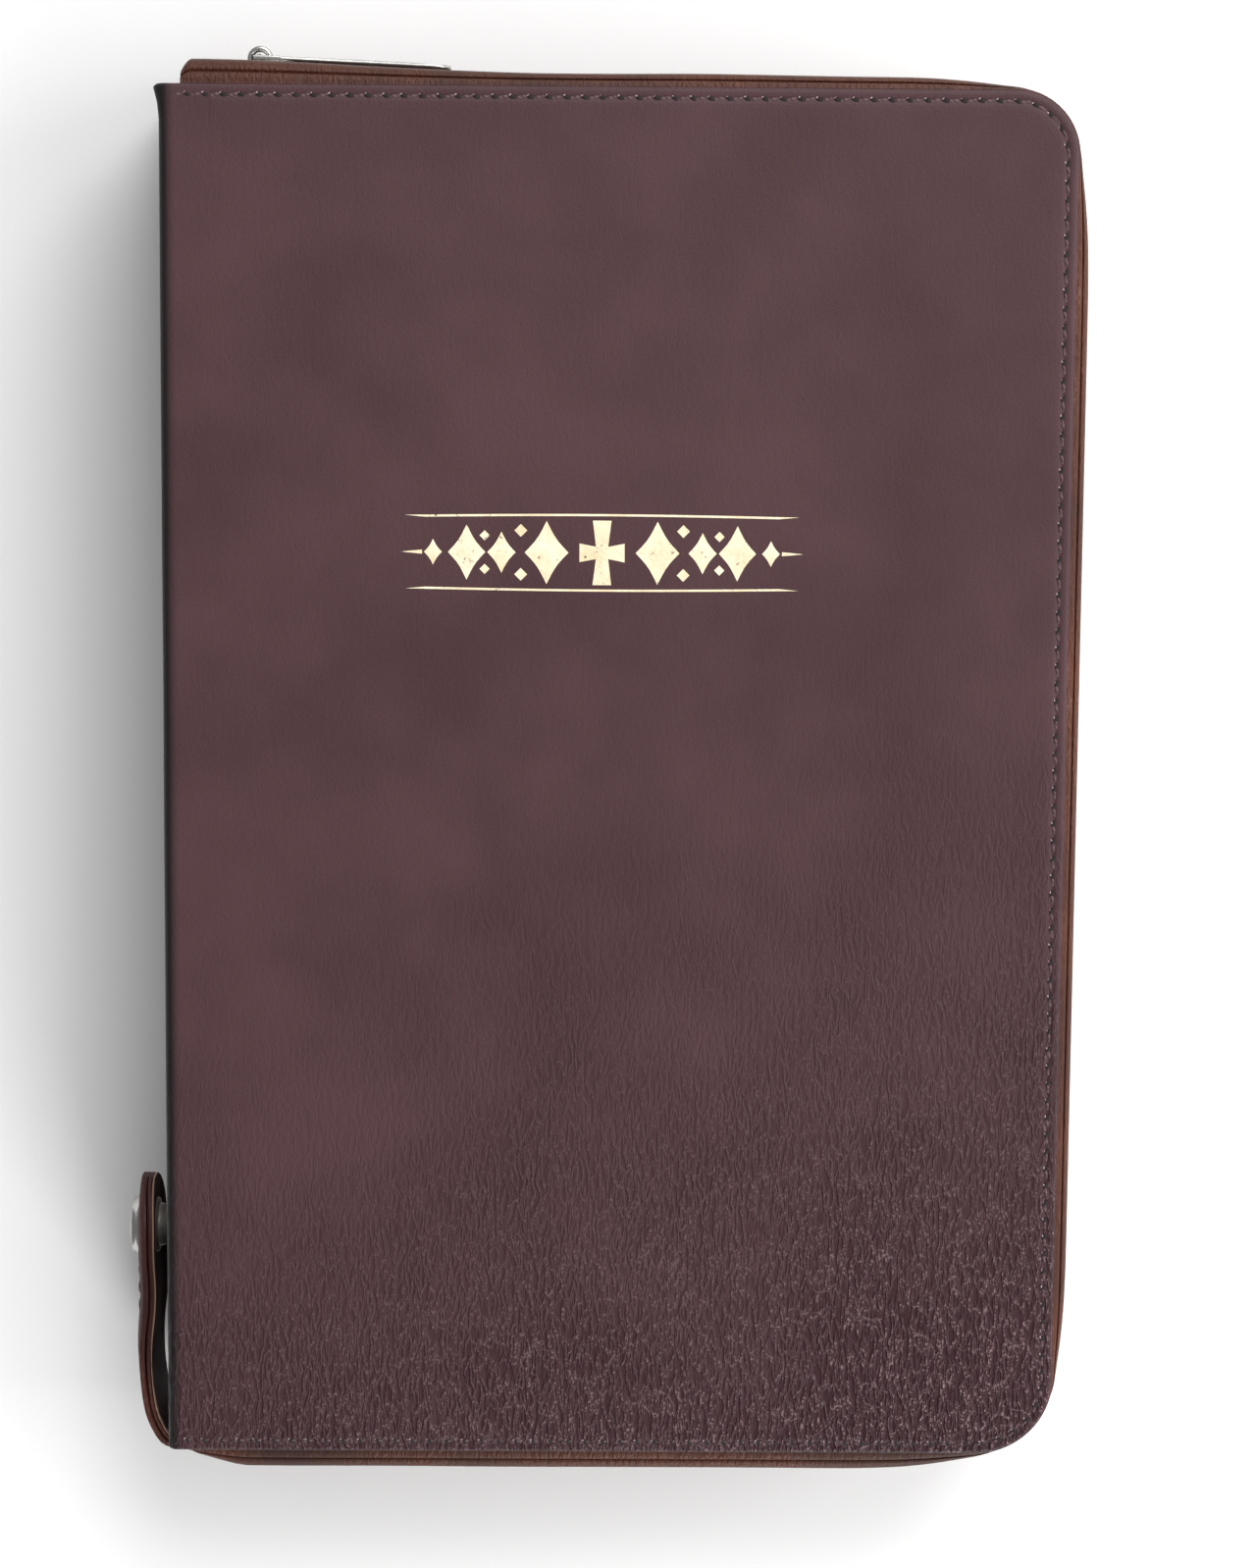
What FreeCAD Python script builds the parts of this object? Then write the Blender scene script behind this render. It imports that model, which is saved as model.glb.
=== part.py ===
import FreeCAD, Part
import math
import os
import re

import Sketcher
from FreeCAD import Placement, Rotation, Vector

# A zip-round leather Bible, closed, lying on its back cover.
# X runs from the spine to the fore edge, Y from the tail to the head, Z from the back
# cover up to the front cover. The origin is the middle of the back cover's underside.

DIMENSIONS = {
    # case
    "cover_width": 141.0,
    "cover_height": 215.0,
    "book_thickness": 36.0,
    "corner_radius": 12.0,
    "leather_thickness": 1.2,
    "board_thickness": 1.0,
    "lining_thickness": 0.5,
    "stiffener_thickness": 0.7,
    # folded leather joints between the covers and the spine
    "bead_radius": 1.5,
    "hinge_gap": 0.3,
    # side walls and zip
    "gusset_bulge": 2.1,
    "gusset_wall": 1.2,
    "zip_opening": 10.0,
    "flange_width": 3.0,
    "tape_thickness": 0.6,
    "tape_overlap": 2.0,
    "teeth_width": 2.2,
    "teeth_depth": 2.2,
    "teeth_gap": 1.6,
    "end_tab_length": 4.0,
    "end_tab_gap": 0.3,
    "stop_length": 1.6,
    "stop_gap": 0.2,
    # slider and pull
    "slider_set": 14.2,
    "slider_length": 9.6,
    "slider_width": 9.0,
    "slider_plate": 1.2,
    "slider_clearance": 0.3,
    "slider_corner": 2.4,
    "wedge_length": 3.0,
    "bridge_radius": 2.1,
    "bridge_hole": 1.0,
    "bridge_width": 2.4,
    "pull_height": 1.7,
    "pull_length": 31.0,
    "pull_width": 5.4,
    "pull_thickness": 0.8,
    "pull_root": 1.1,
    "pull_clearance": 0.4,
    "crossbar_radius": 0.6,
    # text block
    "spine_clearance": 3.0,
    "fore_clearance": 4.5,
    "page_height": 205.0,
    "page_corner": 8.0,
    "page_clearance": 0.6,
    "back_round": 6.0,
    "page_gap": 1.4,
    "gutter_set": 0.6,
    "flyleaf_thickness": 0.2,
    "mull_thickness": 0.4,
    "mull_margin": 7.5,
    "headband_size": 1.0,
    "thread_radius": 0.25,
    "leaf_thickness": 0.15,
    "leaf_spread": 0.3,
    "leaf_margin": 1.0,
    "ribbon_width": 6.0,
    "ribbon_thickness": 0.25,
    "ribbon_place": 30.0,
    # strap and snap
    "strap_gap": 3.6,
    "strap_layer": 1.15,
    "strap_width": 18.0,
    "strap_reach": 41.0,
    "strap_root": 5.5,
    "anchor_pad": 3.0,
    "anchor_wrap": 2.9,
    "anchor_corner": 3.0,
    "snap_place": 32.5,
    "cap_radius": 5.0,
    "cap_height": 1.5,
    "post_radius": 1.2,
    "socket_radius": 4.5,
    "socket_depth": 2.0,
    "socket_hole": 2.0,
    "stud_radius": 4.0,
    "stud_base": 0.4,
    "stud_tip": 1.65,
    "rivet_radius": 1.6,
    "snap_clearance": 0.3,
    "hole_clearance": 0.05,
}

# Places worked out from the driving dimensions.
MID_LEVEL = "(book_thickness / 2)"
SPINE_FACE = "(-cover_width / 2)"
TAIL_EDGE = "(-cover_height / 2)"
AXIS_X = f"({SPINE_FACE} + bead_radius)"
HINGE_REACH = "(cover_width / 2 - 2 * bead_radius - hinge_gap)"
SPINE_STACK = "(leather_thickness + stiffener_thickness + lining_thickness)"
STACK = "(leather_thickness + board_thickness + lining_thickness)"
WALL_OUT = "gusset_bulge"
WALL_IN = "(gusset_bulge - gusset_wall)"
TAPE_IN = f"({WALL_IN} - tape_thickness)"
TEETH_MID = f"({WALL_IN} - tape_thickness / 2)"
TEETH_TOP = f"({MID_LEVEL} - teeth_gap / 2)"
TEETH_FOOT = f"({TEETH_TOP} - teeth_width)"
GUSSET_RISE = f"({MID_LEVEL} - zip_opening / 2)"
TAPE_FOOT = f"({GUSSET_RISE} - tape_overlap)"
TEETH_REACH = f"({HINGE_REACH} - end_tab_length - 2 * stop_gap - stop_length)"
SLIDER_X = f"({SPINE_FACE} + slider_set)"
SLOT_HALF = "(teeth_depth / 2 + slider_clearance)"
TEETH_Y = f"(cover_height / 2 + {TEETH_MID})"
PLATE_FACE = f"({TEETH_Y} + {SLOT_HALF} + slider_plate)"
PULL_Y = f"({PLATE_FACE} + pull_height)"
BLOCK_BACK = f"({SPINE_FACE} + {SPINE_STACK} + spine_clearance)"
BLOCK_FORE = "(cover_width / 2 - fore_clearance)"
BLOCK_FOOT = f"({STACK} + page_clearance + flyleaf_thickness)"
BLOCK_TOP = f"({MID_LEVEL} - page_gap / 2)"
GUTTER_X = f"({BLOCK_BACK} - gutter_set)"
STRAP_IN = f"({SPINE_FACE} - strap_gap)"
STRAP_MID = f"({STRAP_IN} - strap_layer)"
STRAP_OUT = f"({STRAP_MID} - strap_layer)"
STRAP_HINGE = f"({TAIL_EDGE} + strap_root)"
SNAP_Y = f"({TAIL_EDGE} + snap_place)"

document = FreeCAD.newDocument("ZippedBible")
sheet = document.addObject("Spreadsheet::Sheet", "Dims")
for row, (alias, number) in enumerate(DIMENSIONS.items(), start=1):
    sheet.set(f"A{row}", alias)
    sheet.set(f"B{row}", str(number))
    sheet.setAlias(f"B{row}", alias)
document.recompute()

nodes = []


# ---- helpers ---------------------------------------------------------------------------------

def expression(text):
    """The text with every dimension's name turned into a reference to the sheet."""
    def refer(match):
        word = match.group()
        return f"Dims.{word}" if word in DIMENSIONS else word
    return re.sub(r"[a-z_]+", refer, text)


def bind(thing, **properties):
    """Tie properties to the sheet; two underscores stand for a dot."""
    for name, text in properties.items():
        thing.setExpression(name.replace("__", "."), expression(text))


def value(text):
    """The number that an expression has now."""
    return float(sheet.evalExpression(expression(text)))


def new_body(name):
    body = document.addObject("PartDesign::Body", name)
    nodes.append(body)
    return body


def own_plane(body, role):
    return next(f for f in body.Origin.OriginFeatures if f.Role == role)


def new_sketch(body, name, plane="XY_Plane", lift=None):
    sketch = body.newObject("Sketcher::SketchObject", name)
    sketch.AttachmentSupport = [(own_plane(body, plane), "")]
    sketch.MapMode = "FlatFace"
    if lift:
        bind(sketch, AttachmentOffset__Base__z=lift)
    return sketch


def hold(sketch, kind, *where, name=None, size=None):
    """Add a constraint and, where it has a size, tie that size to the sheet."""
    if size is None:
        return sketch.addConstraint(Sketcher.Constraint(kind, *where))
    index = sketch.addConstraint(Sketcher.Constraint(kind, *where, value(size)))
    sketch.renameConstraint(index, name)
    sketch.setExpression(f"Constraints.{name}", expression(size))
    return index


def panel_outline(sketch, spine, fore, half, radius):
    """A sheet with square corners at the spine and round ones at the fore edge.

    spine and fore are its reach either side of the origin, half is half its height."""
    left, right, top, r = (value(text) for text in (spine, fore, half, radius))
    quarter = math.pi / 2
    up = Vector(0, 0, 1)
    line = lambda *p: Part.LineSegment(Vector(p[0], p[1], 0), Vector(p[2], p[3], 0))
    arc = lambda x, y, start: Part.ArcOfCircle(
        Part.Circle(Vector(x, y, 0), up, r), start, start + quarter)
    sketch.addGeometry([
        line(-left, top, right - r, top),
        arc(right - r, top - r, 0),
        line(right, top - r, right, r - top),
        arc(right - r, r - top, -quarter),
        line(right - r, -top, -left, -top),
        line(-left, -top, -left, top),
    ], False)
    for first, end, second, start in ((0, 2, 1, 2), (1, 1, 2, 1), (2, 2, 3, 2), (3, 1, 4, 1)):
        hold(sketch, "Tangent", first, end, second, start)
    hold(sketch, "Coincident", 4, 2, 5, 1)
    hold(sketch, "Coincident", 5, 2, 0, 1)
    for edge in (0, 4):
        hold(sketch, "Horizontal", edge)
    for edge in (2, 5):
        hold(sketch, "Vertical", edge)
    hold(sketch, "Equal", 1, 3)
    hold(sketch, "Radius", 1, name="corner", size=radius)
    hold(sketch, "DistanceX", 0, 1, -1, 1, name="spine", size=spine)
    hold(sketch, "DistanceX", -1, 1, 2, 1, name="fore", size=fore)
    hold(sketch, "DistanceY", -1, 1, 0, 1, name="head", size=half)
    hold(sketch, "DistanceY", 4, 2, -1, 1, name="tail", size=half)


def pad(body, name, sketch, length, midplane=False):
    feature = body.newObject("PartDesign::Pad", name)
    feature.Profile = sketch
    feature.Midplane = midplane
    bind(feature, Length=length)
    sketch.Visibility = False
    return feature


def pocket(body, name, sketch, length):
    """Cut upwards from the sketch, and make sure that something was cut."""
    document.recompute()
    before = body.Shape.Volume
    feature = body.newObject("PartDesign::Pocket", name)
    feature.Profile = sketch
    feature.Reversed = True
    bind(feature, Length=length)
    document.recompute()
    if body.Shape.Volume >= before:
        raise RuntimeError(f"{body.Label}: {name} cut nothing")
    return feature


def stand(thing, side, level):
    """Put a piece at its level above its own cover; the front half is the back half turned over."""
    if side == "back":
        bind(thing, Placement__Base__z=level)
    else:
        thing.Placement = Placement(Vector(), Rotation(Vector(1, 0, 0), 180))
        bind(thing, Placement__Base__z=f"book_thickness - {level}")


def panel(name, side, level, thickness, spine, grow="0", fore=None, half=None, radius=None):
    """A flat sheet; grow sets it out from the cover's edge along all three sides."""
    body = new_body(name)
    sketch = new_sketch(body, name + "_outline")
    panel_outline(sketch, spine, fore or f"(cover_width / 2 + {grow})",
                  half or f"(cover_height / 2 + {grow})", radius or f"(corner_radius + {grow})")
    pad(body, name + "_pad", sketch, thickness)
    stand(body, side, level)
    return body


def hollow(body, name, depth, grow, lift=None):
    """Cut the inside out of a panel, open at the spine, and leave a U-shaped wall."""
    sketch = new_sketch(body, name + "_inside", lift=lift)
    panel_outline(sketch, "cover_width", f"(cover_width / 2 + {grow})",
                  f"(cover_height / 2 + {grow})", f"(corner_radius + {grow})")
    pocket(body, name + "_cut", sketch, depth)


def block(name, x, y, z, length, width, height, side="back", node=True):
    """A box between its lowest corner and its sizes; on the front half it is mirrored in Z."""
    box = document.addObject("Part::Box", name)
    level = z if side == "back" else f"book_thickness - {z} - {height}"
    bind(box, Length=length, Width=width, Height=height,
         Placement__Base__x=x, Placement__Base__y=y, Placement__Base__z=level)
    if node:
        nodes.append(box)
    return box


def rod(name, turn, x, y, z, radius, length, node=True):
    """A cylinder from x, y, z along the direction that turn gives it."""
    cylinder = document.addObject("Part::Cylinder", name)
    cylinder.Placement = Placement(Vector(), turn)
    bind(cylinder, Radius=radius, Height=length,
         Placement__Base__x=x, Placement__Base__y=y, Placement__Base__z=z)
    if node:
        nodes.append(cylinder)
    return cylinder


ALONG_X = Rotation(Vector(0, 1, 0), 90)
ALONG_Y = Rotation(Vector(1, 0, 0), -90)
ALONG_Z = Rotation()


def fuse(name, *shapes):
    union = document.addObject("Part::MultiFuse", name)
    union.Shapes = list(shapes)
    union.Refine = True
    return union


def cut(name, base, tool):
    result = document.addObject("Part::Cut", name)
    result.Base = base
    result.Tool = tool
    result.Refine = True
    return result


def polygon(sketch, points):
    """A closed outline through named points; every point is tied to the sheet."""
    corners = [(value(x), value(y)) for x, y in points]
    count = len(points)
    for index, (x, y) in enumerate(corners):
        following = corners[(index + 1) % count]
        sketch.addGeometry(Part.LineSegment(Vector(x, y, 0), Vector(*following, 0)), False)
    for index in range(count):
        hold(sketch, "Coincident", index, 2, (index + 1) % count, 1)
    for index, (x, y) in enumerate(points):
        for kind, text, number in (("DistanceX", x, corners[index][0]),
                                   ("DistanceY", y, corners[index][1])):
            ends = (-1, 1, index, 1) if number >= 0 else (index, 1, -1, 1)
            size = text if number >= 0 else f"-{text}"
            hold(sketch, kind, *ends, name=f"{kind}{index}", size=size)


def round_edges(body, name, radius, chosen):
    """Round the edges whose middle point passes the test."""
    document.recompute()
    tip = body.Tip
    picked = [f"Edge{i}" for i, edge in enumerate(tip.Shape.Edges, start=1)
              if chosen(edge.CenterOfMass, edge)]
    if not picked:
        raise RuntimeError(f"{body.Label}: no edge for {name}")
    feature = body.newObject("PartDesign::Fillet", name)
    feature.Base = (tip, picked)
    bind(feature, Radius=radius)
    body.Tip = feature


def near(first, second):
    return abs(first - second) < 1e-3


# ---- covers: outer leather, board and lining ---------------------------------------------------

def make_cover(side):
    panel(f"{side}_cover_leather", side, "0", "leather_thickness", HINGE_REACH)
    panel(f"{side}_cover_board", side, "leather_thickness", "board_thickness", HINGE_REACH,
          grow="(-flange_width - hinge_gap)")
    panel(f"{side}_cover_lining", side, "(leather_thickness + board_thickness)",
          "lining_thickness", HINGE_REACH)


# ---- side walls, zip tape, teeth and their ends ------------------------------------------------

def make_gusset(side):
    """An L-section: the flange is sewn under the cover's edge, and the wall stands outside it."""
    name = f"{side}_gusset"
    rise = f"({GUSSET_RISE} - leather_thickness)"
    body = panel(name, side, "leather_thickness", rise, HINGE_REACH, grow=WALL_OUT)
    hollow(body, name + "_flange", rise, "(-flange_width)")
    hollow(body, name + "_wall", GUSSET_RISE, WALL_IN, lift="board_thickness")


def make_zip_row(side):
    name = f"{side}_zipper_tape"
    width = f"({TEETH_FOOT} - {TAPE_FOOT})"
    tape = panel(name, side, TAPE_FOOT, width, HINGE_REACH, grow=WALL_IN)
    hollow(tape, name, width, TAPE_IN)
    name = f"{side}_zipper_teeth"
    teeth = panel(name, side, TEETH_FOOT, "teeth_width", TEETH_REACH,
                  grow=f"({TEETH_MID} + teeth_depth / 2)")
    hollow(teeth, name, "teeth_width", f"({TEETH_MID} - teeth_depth / 2)")


def make_zip_ends(side):
    """Leather tabs over the tape's two ends, and a metal stop at the closed end."""
    wall_face = f"(cover_height / 2 + {WALL_IN})"
    foot = f"({GUSSET_RISE} + end_tab_gap)"
    for end in ("head", "tail"):
        y = wall_face if end == "head" else f"(-{wall_face} - gusset_wall)"
        block(f"{side}_{end}_end_tab", f"(-{HINGE_REACH})", y, foot,
              "end_tab_length", "gusset_wall", f"({TEETH_TOP} - {foot})", side)
    make_stop(f"{side}_top_stop", side, "head")


def make_stop(name, side, end):
    """A metal clip in line with the row of teeth, just past its last tooth."""
    low = f"({TEETH_Y} - teeth_depth / 2)"
    y = low if end == "head" else f"(-{low} - teeth_depth)"
    x = f"(-{TEETH_REACH} - stop_gap - stop_length)"
    block(name, x, y, TEETH_FOOT, "stop_length", "teeth_depth", "teeth_width", side)


# ---- spine -----------------------------------------------------------------------------------

def spine_layer(name, depth, thickness):
    """A flat layer between the two folded joints, with a hole for the stud's rivet."""
    clear = "(2 * bead_radius + hinge_gap)"
    sheet_box = block(name + "_sheet", f"({SPINE_FACE} + {depth})", TAIL_EDGE, clear, thickness,
                      "cover_height", f"(book_thickness - 2 * {clear})", node=False)
    layer = cut(name, sheet_box, rivet_hole(name))
    nodes.append(layer)


def rivet_hole(name):
    return rod(name + "_hole", ALONG_X, SPINE_FACE, SNAP_Y, MID_LEVEL,
               "(rivet_radius + hole_clearance)", SPINE_STACK, node=False)


def make_spine():
    """The leather rolls round both joints in a bead, and its flat part spans between them."""
    flat = block("spine_flat", SPINE_FACE, TAIL_EDGE, "bead_radius", "leather_thickness",
                 "cover_height", "(book_thickness - 2 * bead_radius)", node=False)
    beads = [
        rod(f"spine_bead_{side}", ALONG_Y, AXIS_X, TAIL_EDGE, level, "bead_radius",
            "cover_height", node=False)
        for side, level in (("back", "bead_radius"), ("front", "(book_thickness - bead_radius)"))
    ]
    leather = cut("spine_leather", fuse("spine_skin", flat, *beads), rivet_hole("spine_leather"))
    nodes.append(leather)
    spine_layer("spine_stiffener", "leather_thickness", "stiffener_thickness")
    spine_layer("spine_lining", "(leather_thickness + stiffener_thickness)", "lining_thickness")


# ---- strap with its snap -----------------------------------------------------------------------

def strap_panel(name, x):
    """One leather layer with a round tip, and a hole for the snap's post."""
    body = new_body(name)
    sketch = new_sketch(body, name + "_outline", "YZ_Plane")
    half, tip, root = (value(t) for t in ("strap_width / 2", "strap_reach - strap_width / 2",
                                          "strap_root"))
    turn = math.pi / 2
    sketch.addGeometry([
        Part.LineSegment(Vector(root, -half, 0), Vector(tip, -half, 0)),
        Part.ArcOfCircle(Part.Circle(Vector(tip, 0, 0), Vector(0, 0, 1), half), -turn, turn),
        Part.LineSegment(Vector(tip, half, 0), Vector(root, half, 0)),
        Part.LineSegment(Vector(root, half, 0), Vector(root, -half, 0)),
        Part.Circle(Vector(value("snap_place"), 0, 0), Vector(0, 0, 1), value("post_radius")),
    ], False)
    hold(sketch, "Tangent", 0, 2, 1, 1)
    hold(sketch, "Tangent", 1, 2, 2, 1)
    hold(sketch, "Coincident", 2, 2, 3, 1)
    hold(sketch, "Coincident", 3, 2, 0, 1)
    hold(sketch, "Horizontal", 0)
    hold(sketch, "Vertical", 3)
    hold(sketch, "PointOnObject", 1, 3, -1)
    hold(sketch, "PointOnObject", 4, 3, -1)
    hold(sketch, "Radius", 1, name="half_width", size="(strap_width / 2)")
    hold(sketch, "DistanceX", -1, 1, 3, 1, name="root", size="strap_root")
    hold(sketch, "DistanceX", -1, 1, 1, 3, name="tip", size="(strap_reach - strap_width / 2)")
    hold(sketch, "DistanceX", -1, 1, 4, 3, name="snap", size="snap_place")
    hold(sketch, "Radius", 4, name="post", size="(post_radius + hole_clearance)")
    pad(body, name + "_pad", sketch, "strap_layer")
    bind(body, Placement__Base__x=x, Placement__Base__y=TAIL_EDGE, Placement__Base__z=MID_LEVEL)


def make_strap():
    strap_panel("strap_outer", STRAP_OUT)
    strap_panel("strap_lining", STRAP_MID)
    make_snap_cap()
    ring = rod("socket_disc", ALONG_X, STRAP_IN, SNAP_Y, MID_LEVEL, "socket_radius",
               "socket_depth", node=False)
    mouth = rod("socket_mouth", ALONG_X, STRAP_IN, SNAP_Y, MID_LEVEL, "socket_hole",
                "socket_depth", node=False)
    nodes.append(cut("snap_socket", ring, mouth))


def make_snap_cap():
    """A dome turned from an arc, with a post that goes through both layers of the strap."""
    body = new_body("snap_cap")
    sketch = new_sketch(body, "snap_cap_profile", "XZ_Plane")
    rim, rise, post = (value(t) for t in ("cap_radius", "cap_height", "post_radius"))
    depth = value("2 * strap_layer")
    bulge = (rim ** 2 + rise ** 2) / (2 * rise)
    centre = bulge - rise
    crown = Part.ArcOfCircle(Part.Circle(Vector(centre, 0, 0), Vector(0, 0, 1), bulge),
                             math.pi - math.atan2(rim, centre), math.pi)
    lines = [((-rise, 0), (depth, 0)), ((depth, 0), (depth, post)), ((depth, post), (0, post)),
             ((0, post), (0, rim))]
    sketch.addGeometry([Part.LineSegment(Vector(*a, 0), Vector(*b, 0)) for a, b in lines]
                       + [crown], False)
    for first, end, second, start in ((0, 2, 1, 1), (1, 2, 2, 1), (2, 2, 3, 1), (3, 2, 4, 1),
                                      (4, 2, 0, 1)):
        hold(sketch, "Coincident", first, end, second, start)
    hold(sketch, "PointOnObject", 0, 1, -1)
    hold(sketch, "PointOnObject", 4, 3, -1)
    hold(sketch, "Horizontal", 0)
    hold(sketch, "Vertical", 1)
    hold(sketch, "Horizontal", 2)
    hold(sketch, "PointOnObject", 3, 1, -2)
    hold(sketch, "PointOnObject", 3, 2, -2)
    hold(sketch, "DistanceX", 0, 1, -1, 1, name="rise", size="cap_height")
    hold(sketch, "DistanceX", -1, 1, 0, 2, name="depth", size="(2 * strap_layer)")
    hold(sketch, "DistanceY", -1, 1, 1, 2, name="post", size="post_radius")
    hold(sketch, "DistanceY", -1, 1, 3, 2, name="rim", size="cap_radius")
    turned = body.newObject("PartDesign::Revolution", "snap_cap_turned")
    turned.Profile = sketch
    turned.ReferenceAxis = (sketch, ["H_Axis"])
    turned.Angle = 360
    bind(body, Placement__Base__x=STRAP_OUT, Placement__Base__y=SNAP_Y,
         Placement__Base__z=MID_LEVEL)


def make_snap_stud():
    """The stud's foot lies on the spine, its tip stands in the socket, a rivet holds it."""
    foot = rod("stud_foot", ALONG_X, f"({SPINE_FACE} - stud_base)", SNAP_Y, MID_LEVEL,
               "stud_radius", "stud_base", node=False)
    tip = rod("stud_pin", ALONG_X, f"({STRAP_IN} + snap_clearance)", SNAP_Y, MID_LEVEL,
              "stud_tip", "(strap_gap - snap_clearance)", node=False)
    nodes.append(fuse("snap_stud", foot, tip))
    rod("stud_rivet", ALONG_X, SPINE_FACE, SNAP_Y, MID_LEVEL, "rivet_radius", SPINE_STACK)


def make_strap_anchor():
    """The strap's root: it stands off the spine, is glued to it and wraps the tail corner."""
    body = new_body("strap_anchor")
    sketch = new_sketch(body, "strap_anchor_outline")
    wrap_end = f"({SPINE_FACE} + anchor_wrap)"
    low = f"({TAIL_EDGE} - gusset_bulge)"
    pad_top = f"({TAIL_EDGE} + anchor_pad)"
    top = f"({STRAP_HINGE} - 2 * strap_layer - hinge_gap)"
    polygon(sketch, [
        (STRAP_OUT, low), (wrap_end, low), (wrap_end, TAIL_EDGE), (SPINE_FACE, TAIL_EDGE),
        (SPINE_FACE, pad_top), (STRAP_IN, pad_top), (STRAP_IN, top), (STRAP_OUT, top),
    ])
    pad(body, "strap_anchor_pad", sketch, "strap_width", midplane=True)
    corner_x, corner_y = value(STRAP_OUT), value(low)
    round_edges(body, "strap_anchor_bend", "anchor_corner",
                lambda middle, edge: near(middle.x, corner_x) and near(middle.y, corner_y))
    bind(body, Placement__Base__z=MID_LEVEL)


# ---- zip slider and pull -----------------------------------------------------------------------

def slider_plate(name, y):
    """A plate with rounded corners."""
    body = document.addObject("PartDesign::Body", name)
    sketch = new_sketch(body, name + "_outline", "XZ_Plane")
    half_length, half_width = "(slider_length / 2)", "(slider_width / 2)"
    left, low = f"(-{half_length})", f"(-{half_width})"
    polygon(sketch, [(left, low), (half_length, low), (half_length, half_width), (left, half_width)])
    pad(body, name + "_pad", sketch, "slider_plate", midplane=True)
    round_edges(body, name + "_corners", "slider_corner",
                lambda middle, edge: near(abs(middle.x), value(half_length))
                and near(abs(middle.z), value(half_width)))
    bind(body, Placement__Base__x=SLIDER_X, Placement__Base__y=y, Placement__Base__z=MID_LEVEL)
    return body


def make_slider():
    """Two plates joined by the wedge between the rows, and a round bridge over the outer one."""
    shift = f"({SLOT_HALF} + slider_plate / 2)"
    outer = slider_plate("slider_outer_plate", f"({TEETH_Y} + {shift})")
    inner = slider_plate("slider_inner_plate", f"({TEETH_Y} - {shift})")
    wedge_thickness = "(teeth_gap - 2 * slider_clearance)"
    wedge = block("slider_wedge", f"({SLIDER_X} + slider_length / 2 - wedge_length)",
                  f"({TEETH_Y} - {SLOT_HALF})", f"({MID_LEVEL} - {wedge_thickness} / 2)",
                  "wedge_length", f"(2 * {SLOT_HALF})", wedge_thickness, node=False)
    low = f"({MID_LEVEL} - bridge_width / 2)"
    arch = rod("bridge_arch", ALONG_Z, SLIDER_X, PULL_Y, low, "bridge_radius", "bridge_width",
               node=False)
    legs = block("bridge_legs", f"({SLIDER_X} - bridge_radius)", PLATE_FACE, low,
                 "(2 * bridge_radius)", "pull_height", "bridge_width", node=False)
    eye = rod("bridge_eye", ALONG_Z, SLIDER_X, PULL_Y, low, "bridge_hole", "bridge_width",
              node=False)
    slot = block("bridge_slot", f"({SLIDER_X} - bridge_hole)", PLATE_FACE, low,
                 "(2 * bridge_hole)", "pull_height", "bridge_width", node=False)
    bridge = cut("slider_bridge", fuse("bridge_outside", arch, legs),
                 fuse("bridge_inside", eye, slot))
    nodes.append(fuse("zipper_slider", outer, inner, wedge, bridge))


def make_pull():
    """A long flat bar, split round the bridge, on a crossbar that turns in the bridge."""
    half = "(pull_width / 2)"
    bar = rod("pull_root_round", ALONG_Z, SLIDER_X, PULL_Y, f"({MID_LEVEL} - {half})",
              "pull_thickness / 2", "pull_width", node=False)
    flat = block("pull_flat", SLIDER_X, f"({PULL_Y} - pull_thickness / 2)",
                 f"({MID_LEVEL} - {half})", "(pull_length - pull_root)", "pull_thickness",
                 "pull_width", node=False)
    gap = "(bridge_width / 2 + pull_clearance)"
    window = block("pull_window", f"({SLIDER_X} - pull_root)", f"({PULL_Y} - pull_root)",
                   f"({MID_LEVEL} - {gap})",
                   "(pull_root + bridge_radius + 2 * pull_clearance)", "(2 * pull_root)",
                   f"(2 * {gap})", node=False)
    crossbar = rod("pull_crossbar", ALONG_Z, SLIDER_X, PULL_Y, f"({MID_LEVEL} - {half})",
                   "crossbar_radius", "pull_width", node=False)
    blade = cut("pull_blade", fuse("pull_bar", bar, flat), window)
    nodes.append(fuse("zipper_pull", blade, crossbar))


# ---- text block --------------------------------------------------------------------------------

def make_pages(side):
    """Half of the leaves, with endpaper, spine cloth and bands; it swings about the gutter."""
    spine, half = f"(-{BLOCK_BACK})", "(page_height / 2)"
    height = f"({BLOCK_TOP} - {BLOCK_FOOT})"
    pages = panel(f"{side}_page_block", side, BLOCK_FOOT, height, spine,
                  fore=BLOCK_FORE, half=half, radius="page_corner")
    back_x = value(BLOCK_BACK)
    round_edges(pages, f"{side}_page_round", "back_round",
                lambda middle, edge: near(middle.x, back_x) and near(middle.z, 0)
                and edge.Length > value("page_corner"))
    flat_back = f"({spine} - back_round)"
    panel(f"{side}_flyleaf", side, f"({BLOCK_FOOT} - flyleaf_thickness)", "flyleaf_thickness",
          flat_back, fore=BLOCK_FORE, half=half, radius="page_corner")
    rise = f"({height} - back_round)"
    level = f"({BLOCK_FOOT} + back_round)"
    block(f"{side}_mull", f"({BLOCK_BACK} - mull_thickness)", "(mull_margin - page_height / 2)",
          level, "mull_thickness", "(page_height - 2 * mull_margin)", rise, side)
    for end, y in (("headband", half), ("tailband", f"(-{half} - headband_size)")):
        block(f"{side}_{end}", f"({BLOCK_BACK} - mull_thickness)", y, level,
              "(headband_size + mull_thickness)", "headband_size", rise, side)


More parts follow.
